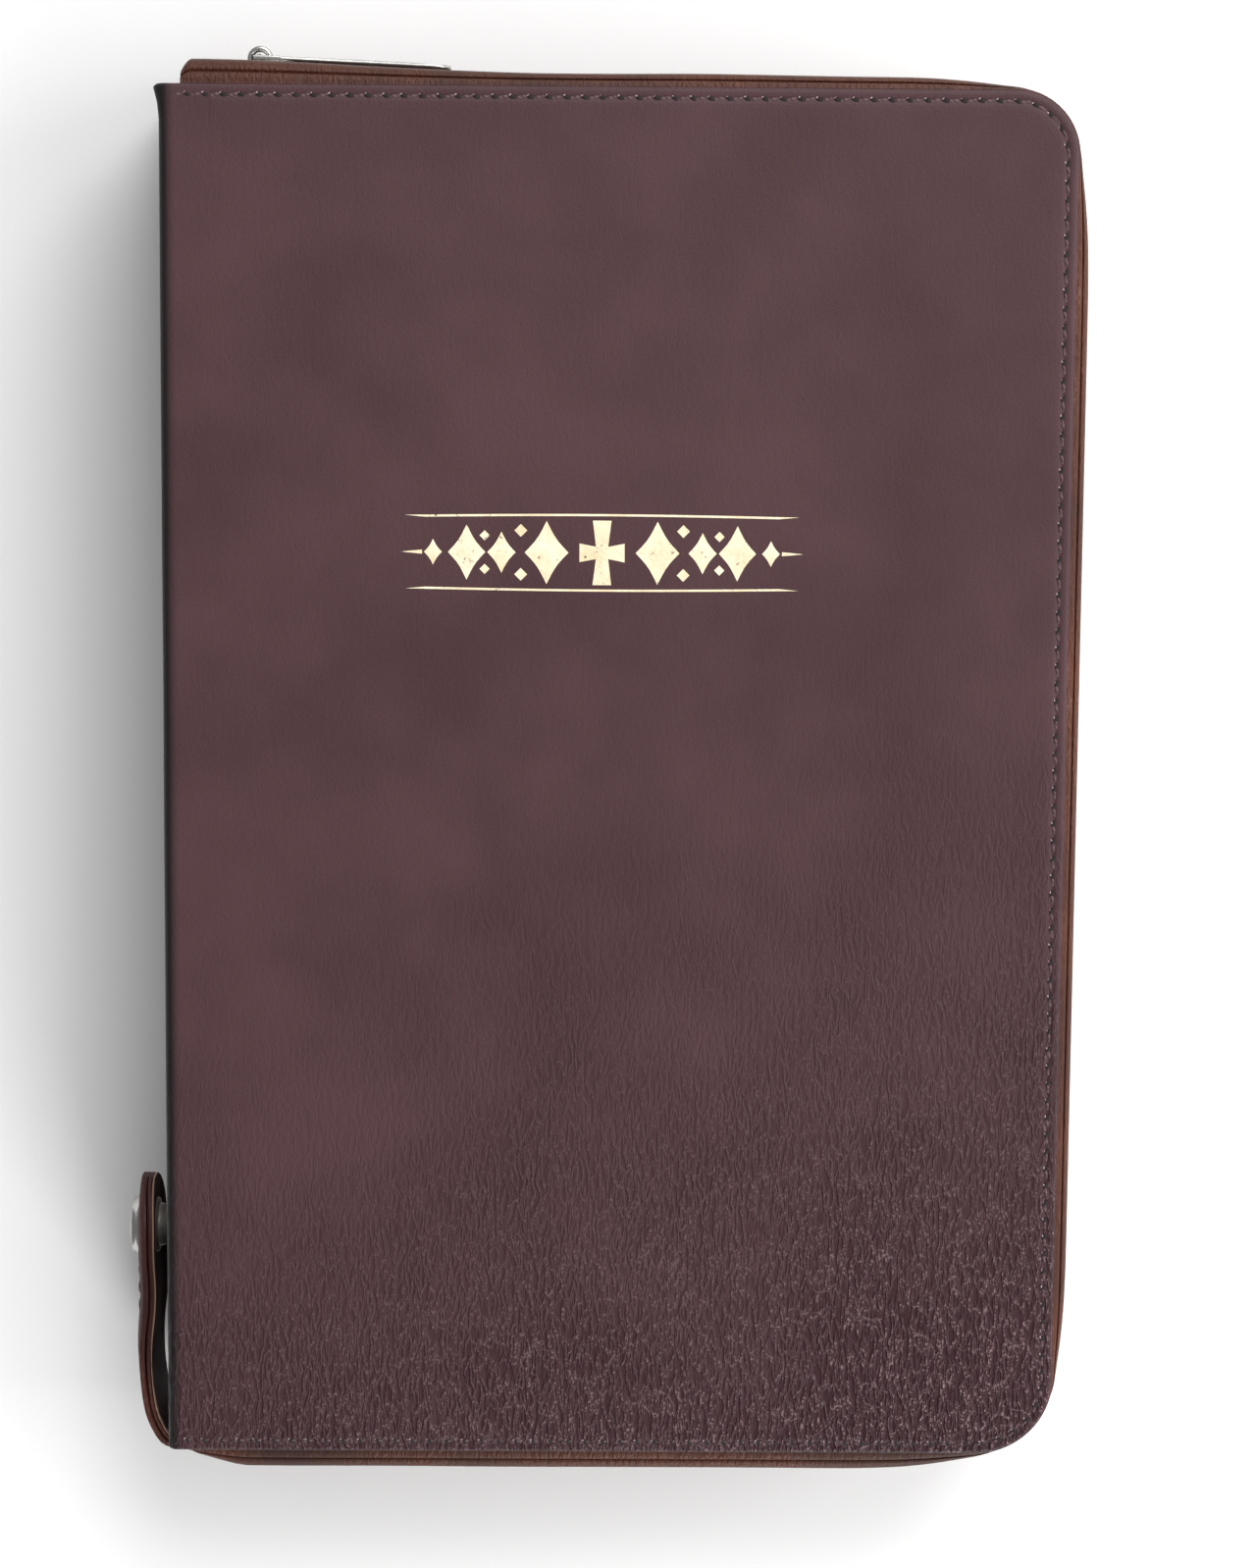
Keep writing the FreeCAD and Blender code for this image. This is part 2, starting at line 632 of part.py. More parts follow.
def make_leaves():
    """The sewing thread in the gutter, a loose leaf each side of it, and the ribbon."""
    rod("binding_thread", ALONG_Y, GUTTER_X, "(mull_margin - page_height / 2)", MID_LEVEL,
        "thread_radius", "(page_height - 2 * mull_margin)")
    half = "(page_height / 2 - leaf_margin)"
    for side in ("back", "front"):
        panel(f"leaf_{side}", side, f"({MID_LEVEL} - leaf_spread)", "leaf_thickness",
              f"(-{BLOCK_BACK})", fore=f"({BLOCK_FORE} - leaf_margin)", half=half,
              radius="(page_corner - leaf_margin)")
    block("ribbon_marker", f"({BLOCK_BACK} + ribbon_place)", f"(-{half} - 2 * leaf_margin)",
          BLOCK_TOP, "ribbon_width", f"({half} * 2 + 2 * leaf_margin)", "ribbon_thickness")


# ---- the whole book ----------------------------------------------------------------------------

for half_name in ("back", "front"):
    make_cover(half_name)
    make_gusset(half_name)
    make_zip_row(half_name)
    make_zip_ends(half_name)
    make_pages(half_name)
make_stop("zip_bottom_stop", "back", "tail")
make_spine()
make_snap_stud()
make_strap_anchor()
make_strap()
make_slider()
make_pull()
make_leaves()

document.recompute()
for thing in document.Objects:
    if any(word in ("Invalid", "Error") for word in thing.State):
        raise RuntimeError(f"{thing.Label} failed: {thing.State}")

os.makedirs("parts", exist_ok=True)
for node in nodes:
    if node.Shape.isNull() or not node.Shape.isValid() or not node.Shape.Solids:
        raise RuntimeError(f"{node.Label} has no sound solid")
    node.Shape.exportStep(f"parts/{node.Label}.step")
print(len(nodes), "pieces; hinge", value(AXIS_X), "gutter", value(GUTTER_X), "pull", value(SLIDER_X),
      value(PULL_Y), "strap hinge", value(STRAP_MID), value(STRAP_HINGE))
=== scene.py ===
import math

import bmesh
import bpy
import numpy as np
from mathutils import Matrix, Vector, noise


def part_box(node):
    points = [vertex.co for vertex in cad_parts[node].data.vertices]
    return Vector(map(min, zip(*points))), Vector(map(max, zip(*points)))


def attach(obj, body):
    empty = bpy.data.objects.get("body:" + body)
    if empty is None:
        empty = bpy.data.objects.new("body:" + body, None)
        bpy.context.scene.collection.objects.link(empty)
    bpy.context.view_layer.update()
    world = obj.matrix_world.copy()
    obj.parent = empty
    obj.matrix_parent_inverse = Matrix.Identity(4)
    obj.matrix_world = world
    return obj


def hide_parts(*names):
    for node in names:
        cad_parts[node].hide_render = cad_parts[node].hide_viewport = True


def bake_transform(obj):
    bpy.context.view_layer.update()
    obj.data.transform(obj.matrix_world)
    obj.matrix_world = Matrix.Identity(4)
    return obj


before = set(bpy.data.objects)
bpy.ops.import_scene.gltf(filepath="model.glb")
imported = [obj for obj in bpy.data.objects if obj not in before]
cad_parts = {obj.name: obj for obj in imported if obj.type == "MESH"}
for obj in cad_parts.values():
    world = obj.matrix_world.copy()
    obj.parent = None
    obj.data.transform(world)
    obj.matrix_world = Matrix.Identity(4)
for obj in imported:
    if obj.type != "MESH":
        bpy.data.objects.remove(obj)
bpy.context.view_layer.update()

# The book lies on its back cover: X runs from the spine to the fore edge, Y from the tail to the
# head, Z up to the front cover. Every length is in metres, except where a comment says mm.
MM = 0.001
SIDES = ("back", "front")
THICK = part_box("front_cover_leather")[1].z
HALF_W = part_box("front_cover_leather")[1].x
HALF_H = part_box("front_cover_leather")[1].y
CORNER = 12.0 * MM
HEAD_CORNER = 9.8 * MM
SPINE_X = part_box("spine_leather")[0].x
BEAD = 1.5 * MM
AXIS_X = SPINE_X + BEAD
JOINT_EDGE = AXIS_X + 6.5 * MM
LEATHER = 1.2 * MM
STITCH_INSET = 1.65 * MM
STITCH_PITCH = 2.75 * MM
MID = THICK / 2
STRAP_LOW, STRAP_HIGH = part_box("strap_outer")
SHARP = math.radians(55)


# ---- camera, light and floor -------------------------------------------------------------------

def new_object(name, data):
    made = bpy.data.objects.new(name, data)
    bpy.context.scene.collection.objects.link(made)
    return made


def add_node(tree, kind, **inputs):
    """Add a node. A small letter names a setting, a capital a socket, and i0 the first socket."""
    made = tree.nodes.new(kind)
    for key, thing in inputs.items():
        if key[0].islower() and not key[1:].isdigit():
            setattr(made, key, thing)
            continue
        socket = made.inputs[int(key[1:]) if key[1:].isdigit() else key.replace("_", " ")]
        if isinstance(thing, bpy.types.NodeSocket):
            tree.links.new(thing, socket)
        else:
            socket.default_value = thing
    return made


def add_camera():
    data = bpy.data.cameras.new("Camera")
    camera = new_object("Camera", data)
    place = Vector((-4.9, 73.4, 614.4)) * MM
    target = Vector((1.96, 0.22, 36.0)) * MM
    back = (place - target).normalized()
    right = Vector((-0.008, 1.0, 0.0)).cross(back).normalized()
    up = back.cross(right)
    rows = [(right[i], up[i], back[i], place[i]) for i in range(3)]
    camera.matrix_world = Matrix((*rows, (0, 0, 0, 1)))
    data.lens = 85.67
    data.sensor_width = 36.0
    data.clip_start = 0.01
    bpy.context.scene.camera = camera


def area_light(name, place, target, size, power):
    data = bpy.data.lights.new(name, "AREA")
    data.size = size
    data.energy = power
    lamp = new_object(name, data)
    lamp.location = place
    lamp.rotation_mode = "QUATERNION"
    lamp.rotation_quaternion = (Vector(target) - Vector(place)).to_track_quat("-Z", "Y")


def add_studio():
    """Three softboxes, a pale room that is darker on the spine's side, and a white floor."""
    area_light("Head_softbox", (0.35, 0.95, 0.95), (0, 0, 0), 0.9, 15)
    area_light("Fore_edge_softbox", (1.05, 0.1, 0.75), (0, 0, 0), 0.8, 7.5)
    area_light("Tail_softbox", (0.35, -0.95, 0.42), (0.02, -0.08, 0.03), 0.35, 7)
    world = bpy.data.worlds.new("Studio")
    bpy.context.scene.world = world
    world.use_nodes = True
    tree = world.node_tree
    room = add_node(tree, "ShaderNodeTexCoord").outputs["Generated"]
    across = add_node(tree, "ShaderNodeSeparateXYZ", i0=room).outputs["X"]
    fall = add_node(tree, "ShaderNodeMapRange", Value=across, From_Min=-0.9, From_Max=0.6,
                    To_Min=0.2, To_Max=0.62)
    tree.links.new(fall.outputs["Result"], tree.nodes["Background"].inputs["Strength"])
    tree.nodes["Background"].inputs["Color"].default_value = (1, 1, 1, 1)
    bpy.context.scene.view_settings.view_transform = "Standard"
    floor = new_piece("Floor", [(-3, -3, 0), (3, -3, 0), (3, 3, 0), (-3, 3, 0)], [(0, 1, 2, 3)])
    paint = Paint("Floor_white", Roughness=0.9)
    speck = paint.noise(3.0, 2)
    paint.colour(paint.ramp(speck, 0.0, (0.90, 0.90, 0.90), 1.0, (0.93, 0.93, 0.93)))
    floor.data.materials.append(paint.material)
    floor.location.z = -0.2 * MM


# ---- material helper ---------------------------------------------------------------------------

class Paint:
    """A node material built step by step; every texture reads the piece's Object coordinates."""

    def __init__(self, name, **constants):
        self.material = bpy.data.materials.new(name)
        self.material.use_nodes = True
        self.tree = self.material.node_tree
        self.tree.nodes.clear()
        self.shader = self.node("BsdfPrincipled", **constants)
        self.node("OutputMaterial", Surface=self.shader.outputs["BSDF"])
        self.where = self.node("TexCoord").outputs["Object"]

    def node(self, kind, **inputs):
        return add_node(self.tree, "ShaderNode" + kind, **inputs)

    def noise(self, scale, detail=4, rough=0.55, shift=(0, 0, 0), distortion=0.0):
        """Cloudy noise; three scales stretch it along X, Y and Z."""
        where = self.where
        if isinstance(scale, tuple):
            where = self.node("Mapping", Vector=where, Scale=scale, Location=shift).outputs["Vector"]
            scale = 1.0
        return self.node("TexNoise", Vector=where, Scale=scale, Detail=detail, Roughness=rough,
                         Distortion=distortion).outputs["Fac"]

    def wave(self, pitch, direction):
        return self.node("TexWave", bands_direction=direction, Vector=self.where,
                         Scale=2 * math.pi / 20 / pitch).outputs["Fac"]

    def math(self, operation, first, second=0.0, third=0.0):
        return self.node("Math", operation=operation, i0=first, i1=second, i2=third).outputs[0]

    def scaled(self, thing, factor, plus=0.0):
        return self.math("MULTIPLY_ADD", thing, factor, plus)

    def veins(self, thing):
        """Nothing along the middle value of a noise, which makes thin lines, and more either side."""
        return self.math("ABSOLUTE", self.scaled(thing, 2.0, -1.0))

    def spread(self, thing, low, high, to_low=0.0, to_high=1.0):
        """A smooth step from one range to another."""
        return self.node("MapRange", interpolation_type="SMOOTHSTEP", Value=thing, From_Min=low,
                         From_Max=high, To_Min=to_low, To_Max=to_high).outputs["Result"]

    def axis(self, name):
        return self.node("SeparateXYZ", Vector=self.where).outputs[name]

    def ramp(self, factor, low, first, high, second):
        made = self.node("ValToRGB", Fac=factor)
        for element, place, colour in zip(made.color_ramp.elements, (low, high), (first, second)):
            element.position = place
            element.color = (*colour, 1)
        return made.outputs["Color"]

    def mix(self, factor, first, second):
        return self.node("Mix", data_type="RGBA", i0=factor, i6=first, i7=(*second, 1)).outputs[2]

    def colour(self, thing):
        self.tree.links.new(thing, self.shader.inputs["Base Color"])

    def finish(self, colour, roughness, height, depth, strength):
        """Link colour, roughness and bump, and give the finished material."""
        self.colour(colour)
        self.tree.links.new(roughness, self.shader.inputs["Roughness"])
        bump = self.node("Bump", Height=height, Distance=depth, Strength=strength)
        self.tree.links.new(bump.outputs["Normal"], self.shader.inputs["Normal"])
        return self.material


def grained_leather(name, light, dark, wrinkled=False, shine=0.5):
    """Soft leather with a fine pebble; the crests of its grain are painted lighter, with painted
    highlights here and there. Wrinkled leather turns, towards the tail and the fore edge, into long
    creases with more painted highlights along their crests, and has painted near-black shade along the
    rolled edges at the spine."""
    paint = Paint(name, Specular_IOR_Level=0.32)
    patches = paint.noise(30.0, 3, 0.6)
    pebble = paint.noise(2300.0, 2, 0.6)
    ridge = paint.veins(paint.noise((1050.0, 290.0, 1050.0), 2, 0.5, distortion=0.3))
    crest = paint.spread(ridge, 0.34, 0.0)
    # lit marks where painted highlights (glints) go: narrow ridge crests, in patches of the pebble.
    lit = paint.scaled(paint.spread(ridge, 0.07, 0.0), paint.spread(pebble, 0.44, 0.62))
    if wrinkled:
        along = paint.scaled(paint.axis("X"), -0.42, paint.axis("Y"))
        along = paint.scaled(patches, 0.06, along)
        strength = paint.spread(along, 0.040, -0.120, 0.05, 1.0)
        # Sparse diagonal crease lines, also painted as highlights.
        crease_glint = paint.veins(paint.noise((150.0, 90.0, 150.0), 1, 0.5, (3.0, 1.0, 0.0), 1.2))
        crease_glint = paint.scaled(paint.spread(crease_glint, 0.022, 0.0), paint.spread(pebble, 0.4, 0.6))
        lit = paint.math("MAXIMUM", lit, paint.scaled(crease_glint, 0.55))
    else:
        strength = paint.spread(patches, 0.3, 0.7, 0.15, 0.55)
    raised = paint.scaled(crest, strength)
    tone = paint.scaled(pebble, 0.16, paint.scaled(patches, 0.9))
    body = paint.ramp(tone, 0.35, dark, 0.68, light)
    if wrinkled:
        deep = (dark[0] * 0.38, dark[1] * 0.10, dark[2] * 0.24)
        body = paint.mix(paint.scaled(strength, 0.84), body, deep)
    # Ridge crests are painted lighter towards the light colour: a painted highlight on the grain.
    body = paint.mix(paint.scaled(raised, 0.22), body, light)
    # glint is the painted highlight colour, mixed in most strongly towards the tail and fore edge.
    glint = tuple(min(1.0, c * 2.1 + 0.12) for c in light)
    body = paint.mix(paint.scaled(lit, paint.math("POWER", strength, 2.0)), body, glint)
    if wrinkled:
        # Painted shade: near-black along the rolled leather at the spine's edges, next to each cover.
        from_middle = paint.math("ABSOLUTE", paint.math("SUBTRACT", paint.axis("Z"), MID))
        fold = paint.scaled(paint.spread(paint.axis("X"), -0.0678, -0.0699, 0.0, 0.94),
                            paint.spread(from_middle, MID - 3.4 * MM, MID - 1.6 * MM))
        body = paint.mix(fold, body, (0.005, 0.004, 0.004))
    return paint.finish(body, paint.scaled(strength, -0.12, shine + 0.06),
                        paint.scaled(pebble, 0.28, raised), 0.00026, 0.8)


def woven(name, light, dark, pitch, gloss=0.75, warp="X", weft="Z"):
    """Cloth of crossing threads."""
    paint = Paint(name, Sheen_Weight=0.25)
    threads = paint.math("MAXIMUM", paint.wave(pitch, warp), paint.wave(pitch, weft))
    fuzz = paint.noise(1800.0, 3)
    mixed = paint.scaled(fuzz, 0.35, paint.scaled(threads, 0.7))
    return paint.finish(paint.ramp(mixed, 0.15, dark, 0.85, light),
                        paint.scaled(fuzz, 0.15, gloss - 0.1), mixed, 0.00018, 0.7)


def metal(name, colour, rough):
    """Plated metal with faint scuffs."""
    paint = Paint(name, Metallic=1.0)
    scuffs = paint.noise((240.0, 1500.0, 900.0), 3)
    cloudy = paint.ramp(paint.noise(160.0, 2), 0.3, tuple(c * 0.86 for c in colour), 0.7, colour)
    return paint.finish(cloudy, paint.scaled(scuffs, 0.16, rough), scuffs, 0.00002, 0.35)


def fibrous(name, light, dark, scale, rough=0.85, depth=0.00008):
    """Board, paper and thread: short fibres in two tones."""
    paint = Paint(name)
    fibre = paint.noise((scale, scale * 0.35, scale), 5, 0.65)
    tone = paint.scaled(paint.noise(35.0, 2), 0.4, paint.scaled(fibre, 0.6))
    return paint.finish(paint.ramp(tone, 0.3, dark, 0.7, light),
                        paint.scaled(fibre, 0.1, rough - 0.05), fibre, depth, 0.5)


def leaf_edges(name, light, dark):
    """The gilt edges of many thin leaves: fine lines round the block, level with the covers."""
    paint = Paint(name, Metallic=0.85)
    lines = paint.noise((14.0, 14.0, 9000.0), 3, 0.7)
    bands = paint.noise((10.0, 10.0, 900.0), 2)
    tone = paint.scaled(bands, 0.4, paint.scaled(lines, 0.6))
    return paint.finish(paint.ramp(tone, 0.3, dark, 0.7, light), paint.scaled(lines, 0.2, 0.28),
                        tone, 0.00012, 0.8)


def striped(name, light, dark, pitch, axis="DIAGONAL"):
    """Thread twisted, or a band sewn, in turns of two colours."""
    paint = Paint(name, Sheen_Weight=0.3)
    stripes = paint.wave(pitch, axis)
    fuzz = paint.noise(2600.0, 2)
    tone = paint.scaled(fuzz, 0.2, paint.spread(stripes, 0.35, 0.65, 0.0, 0.8))
    return paint.finish(paint.ramp(tone, 0.2, dark, 0.75, light), paint.scaled(fuzz, 0.2, 0.55),
                        paint.math("ADD", stripes, fuzz), 0.00012, 0.6)


def gilt_foil():
    """Foil pressed into the grain: it misses the deepest pores."""
    paint = Paint("Gilt_foil", Metallic=0.35)
    pits = paint.node("TexVoronoi", Vector=paint.where, Scale=1500.0).outputs["Distance"]
    wear = paint.noise(900.0, 4, 0.7)
    gold = paint.ramp(paint.noise(260.0, 3), 0.3, (0.86, 0.70, 0.45), 0.7, (0.98, 0.90, 0.68))
    worn = paint.mix(paint.spread(wear, 0.62, 0.70), gold, (0.16, 0.08, 0.06))
    return paint.finish(worn, paint.scaled(pits, 0.3, 0.38), paint.math("ADD", pits, wear),
                        0.00006, 0.6)


def coil_nylon():
    """Moulded coil of the zip: smooth nylon with faint flow lines."""
    paint = Paint("Zip_coil_nylon", Specular_IOR_Level=0.6)
    flow = paint.noise((900.0, 900.0, 2600.0), 2)
    return paint.finish(paint.ramp(flow, 0.3, (0.040, 0.018, 0.015), 0.7, (0.095, 0.042, 0.034)),
                        paint.scaled(flow, 0.15, 0.28), flow, 0.00004, 0.5)


def make_materials():
    return {
        "cover": grained_leather("Cover_leather", (0.072, 0.031, 0.036), (0.050, 0.019, 0.022), True),
        "gusset": grained_leather("Gusset_leather", (0.090, 0.025, 0.0106), (0.033, 0.0088, 0.0052)),
        "strap": grained_leather("Strap_leather", (0.10, 0.030, 0.022), (0.028, 0.009, 0.008)),
        "tan": grained_leather("Strap_raw_edge", (0.56, 0.38, 0.28), (0.34, 0.20, 0.13), shine=0.7),
        "lining": grained_leather("Lining_leather", (0.070, 0.036, 0.034), (0.04, 0.02, 0.019)),
        "tape": woven("Zip_tape_weave", (0.10, 0.045, 0.038), (0.035, 0.016, 0.014), 0.7 * MM),
        "teeth": coil_nylon(),
        "nickel": metal("Nickel_plate", (0.58, 0.57, 0.55), 0.17),
        "satin": metal("Satin_nickel", (0.78, 0.76, 0.70), 0.36),
        "board": fibrous("Cover_board", (0.50, 0.44, 0.36), (0.34, 0.29, 0.23), 700.0),
        "paper": fibrous("Page_paper", (0.80, 0.76, 0.66), (0.72, 0.67, 0.56), 500.0, 0.8, 0.00003),
        "endpaper": fibrous("Endpaper", (0.83, 0.79, 0.69), (0.73, 0.68, 0.57), 420.0),
        "edges": leaf_edges("Gilt_leaf_edges", (0.90, 0.70, 0.36), (0.55, 0.38, 0.15)),
        "mull": woven("Spine_cloth", (0.82, 0.79, 0.70), (0.45, 0.42, 0.35), 0.9 * MM,
                      warp="Y", weft="X"),
        "band": striped("Headband_stripes", (0.80, 0.72, 0.55), (0.36, 0.05, 0.05), 1.3 * MM,
                        "Z"),
        "ribbon": woven("Ribbon_satin", (0.42, 0.03, 0.06), (0.20, 0.012, 0.025), 0.35 * MM, 0.4,
                        "Y", "X"),
        "thread": fibrous("Binding_thread", (0.86, 0.83, 0.75), (0.66, 0.62, 0.52), 2500.0),
        "stitch": striped("Stitch_thread", (0.11, 0.048, 0.056), (0.045, 0.018, 0.022), 0.5 * MM),
        # Pale beads by the holes: painted highlights on the thread where it enters each hole.
        "painted_stitch_glint": striped("Painted_stitch_glints", (0.42, 0.30, 0.32), (0.16, 0.09, 0.10), 0.6 * MM),
        "pale_stitch": striped("Seam_thread", (0.52, 0.32, 0.24), (0.22, 0.10, 0.07), 0.5 * MM),
        # Near-black needle holes: painted shade inside the holes.
        "hole_shade": fibrous("Needle_hole_shade", (0.018, 0.008, 0.009), (0.006, 0.003, 0.003), 2500.0),
        "gilt": gilt_foil(),
    }


# ---- mesh helpers ------------------------------------------------------------------------------

def new_piece(name, points, faces, smooth=False, edges=()):
    mesh = bpy.data.meshes.new(name)
    mesh.from_pydata([tuple(map(float, p)) for p in points], edges, faces)
    if smooth:
        mesh.shade_smooth()
    return new_object(name, mesh)


def finished(name, bm):
    """A smooth piece from a finished bmesh."""
    mesh = bpy.data.meshes.new(name)
    bm.to_mesh(mesh)
    bm.free()
    mesh.shade_smooth()
    return new_object(name, mesh)


def circle(count):
    """The cosine and sine of even steps round a circle."""
    steps = [2 * math.pi * k / count for k in range(count)]
    return [(math.cos(a), math.sin(a)) for a in steps]


def boxed(share, power):
    """Push a cosine or sine outwards, which turns a round section into a rounded oblong."""
    return math.copysign(abs(share) ** power, share)


def outward(piece):
    """Merge doubles and turn every face of a closed shell outwards."""
    bm = bmesh.new()
    bm.from_mesh(piece.data)
    bmesh.ops.remove_doubles(bm, verts=bm.verts, dist=1e-6)
    bmesh.ops.recalc_face_normals(bm, faces=bm.faces)
    bm.to_mesh(piece.data)
    bm.free()
    piece.data.set_sharp_from_angle(angle=SHARP)
    return piece


def dress(piece, slot, *materials, body=None, stands_for=()):
    """Give a piece its materials, its body and the nodes it stands for; the slot argument is not used."""
    for material in materials:
        piece.data.materials.append(material)
    if body:
        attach(piece, body)
    if stands_for:
        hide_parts(*stands_for)
    return piece


def quads(rows, columns, close_rows=False, close_columns=False):
    faces = []
    for i in range(rows if close_rows else rows - 1):
        for j in range(columns if close_columns else columns - 1):
            a, b = i * columns, ((i + 1) % rows) * columns
            k = (j + 1) % columns
            faces.append((a + j, a + k, b + k, b + j))
    return faces


def loft(name, sections, closed=True, loop=False):
    """A skin over sections of equal length; closed ones make a tube with closed ends, unless it loops."""
    rows, columns = len(sections), len(sections[0])
    points = [p for section in sections for p in section]
    faces = quads(rows, columns, loop, closed)
    if closed and not loop:
        faces.append(tuple(range(columns)))
        faces.append(tuple(range((rows - 1) * columns, rows * columns)))
    return outward(new_piece(name, points, faces, smooth=True))


def lathe(name, profile, centre, turns=48):
    """Turn (along X, radius) pairs about the X direction through centre."""
    x, y, z = centre
    sections = [[(x + along, y + r * c, z + r * s) for along, r in profile] for c, s in circle(turns)]
    return loft(name, sections, closed=False, loop=True)


def slab(name, low, high, bevel, segments=3):
    """A block with rounded edges."""
    bm = bmesh.new()
    bmesh.ops.create_cube(bm, size=1.0)
    low, high = Vector(low), Vector(high)
    for v in bm.verts:
        v.co = Vector([(low[i] + high[i]) / 2 + v.co[i] * (high[i] - low[i]) for i in range(3)])
    bmesh.ops.bevel(bm, geom=list(bm.edges), offset=bevel, segments=segments, profile=0.5,
                    affect="EDGES")
    block = finished(name, bm)
    block.data.set_sharp_from_angle(angle=SHARP)
    return block


def join(name, *objects):
    """One mesh from several."""
    bm = bmesh.new()
    for thing in objects:
        bm.from_mesh(thing.data)
        bpy.data.objects.remove(thing)
    return finished(name, bm)


def smooth_path(corners, step=None, each=None):
    """A rounded line through the corners, sampled about every step, or each times a span."""
    p = [np.array(c, float) for c in corners]
    p = [2 * p[0] - p[1], *p, 2 * p[-1] - p[-2]]
    points = []
    for a, b, c, d in zip(p, p[1:], p[2:], p[3:]):
        count = each or max(2, int(np.linalg.norm(c - b) / step))
        for k in range(count):
            t = k / count
            points.append(0.5 * (2 * b + (c - a) * t + (2 * a - 5 * b + 4 * c - d) * t ** 2
                                 + (3 * b - a - 3 * c + d) * t ** 3))
    points.append(p[-2])
    return points


def ease(x, low, high):
    t = min(1.0, max(0.0, (x - low) / (high - low)))
    return t * t * (3 - 2 * t)


def level(side, z):
    """A height above a cover's own outside, turned over for the front half."""
    return z if side == "back" else THICK - z


def outside(side):
    return (0, 0, 1 if side == "front" else -1)


def case_line(grow, start_x, step=2.0 * MM):
    """The case's outline, set out by grow, from the head's spine end round to the tail's.

    Gives (x, y, outward x, outward y) along it; the first and last few are closer together."""
    out_x, out_y = HALF_W + grow, HALF_H + grow
    halves = []
    for corner in (HEAD_CORNER, CORNER):
        radius = corner + grow
        centre_x, centre_y = out_x - radius, out_y - radius
        near = start_x + 3.6 * MM
        line = [(start_x + 0.3 * MM * k, out_y, 0.0, 1.0) for k in range(12)]
        count = max(2, round((centre_x - near) / step))
        line += [(near + (centre_x - near) * k / count, out_y, 0.0, 1.0) for k in range(count)]
        arc = max(8, round(radius * math.pi / 2 / (step * 0.6)))
        for k in range(arc):
            a = math.pi / 2 * (1 - k / arc)
            line.append((centre_x + radius * math.cos(a), centre_y + radius * math.sin(a),
                         math.cos(a), math.sin(a)))
        count = max(2, round(centre_y / step))
        line += [(out_x, centre_y * (1 - k / count), 1.0, 0.0) for k in range(count)]
        halves.append(line)
    head, tail = halves
    mirrored = [(x, -y, nx, -ny) for x, y, nx, ny in reversed(tail)]
    return head + [(out_x, 0.0, 1.0, 0.0)] + mirrored


# ---- beads along a path: stitches, needle holes and zip teeth ----------------------------------

def bead_tree():
    """Geometry Nodes: rounded beads at an even pitch along a line, each lying along it."""
    tree = bpy.data.node_groups.new("Beads_along_a_line", "GeometryNodeTree")
    face = tree.interface
    sockets = [("Geometry", "Geometry"), ("Up", "Vector"), ("Material", "Material")]
    sockets += [(name, "Float") for name in ("Pitch", "Length", "Width", "Height", "Slant", "Jitter")]
    for name, kind in sockets:
        face.new_socket(name, in_out="INPUT", socket_type="NodeSocket" + kind)
    face.new_socket("Geometry", in_out="OUTPUT", socket_type="NodeSocketGeometry")

    def add(kind, **inputs):
        return add_node(tree, kind, **inputs)

    given = add("NodeGroupInput").outputs
    curve = add("GeometryNodeMeshToCurve", Mesh=given["Geometry"]).outputs["Curve"]
    spaced = add("GeometryNodeResampleCurve", mode="LENGTH", Curve=curve, Length=given["Pitch"])
    tangent = add("GeometryNodeInputTangent").outputs["Tangent"]
    along = add("FunctionNodeAlignRotationToVector", axis="X", Vector=tangent)
    upright = add("FunctionNodeAlignRotationToVector", axis="Z", pivot_axis="X",
                  Rotation=along.outputs[0], Vector=given["Up"])
    minus = add("ShaderNodeMath", operation="MULTIPLY", i0=given["Jitter"], i1=-1.0)
    wobble = add("FunctionNodeRandomValue", data_type="FLOAT", i2=minus.outputs[0],
                 i3=given["Jitter"], Seed=3)
    lean = add("ShaderNodeMath", i0=given["Slant"], i1=wobble.outputs[1])
    turned = add("ShaderNodeCombineXYZ", Z=lean.outputs[0])
    euler = add("FunctionNodeEulerToRotation", Euler=turned.outputs[0])
    rotate = add("FunctionNodeRotateRotation", rotation_space="LOCAL",
                 Rotation=upright.outputs[0], Rotate_By=euler.outputs[0])
    ball = add("GeometryNodeMeshUVSphere", Segments=8, Rings=6, Radius=0.5).outputs["Mesh"]
    size = add("ShaderNodeCombineXYZ", X=given["Length"], Y=given["Width"], Z=given["Height"])
    placed = add("GeometryNodeInstanceOnPoints", Points=spaced.outputs["Curve"], Instance=ball,
                 Rotation=rotate.outputs[0], Scale=size.outputs[0])
    solid = add("GeometryNodeRealizeInstances", Geometry=placed.outputs["Instances"])
    smooth = add("GeometryNodeSetShadeSmooth", Geometry=solid.outputs["Geometry"])
    painted = add("GeometryNodeSetMaterial", Geometry=smooth.outputs[0],
                  Material=given["Material"])
    add("NodeGroupOutput", Geometry=painted.outputs[0])
    return tree


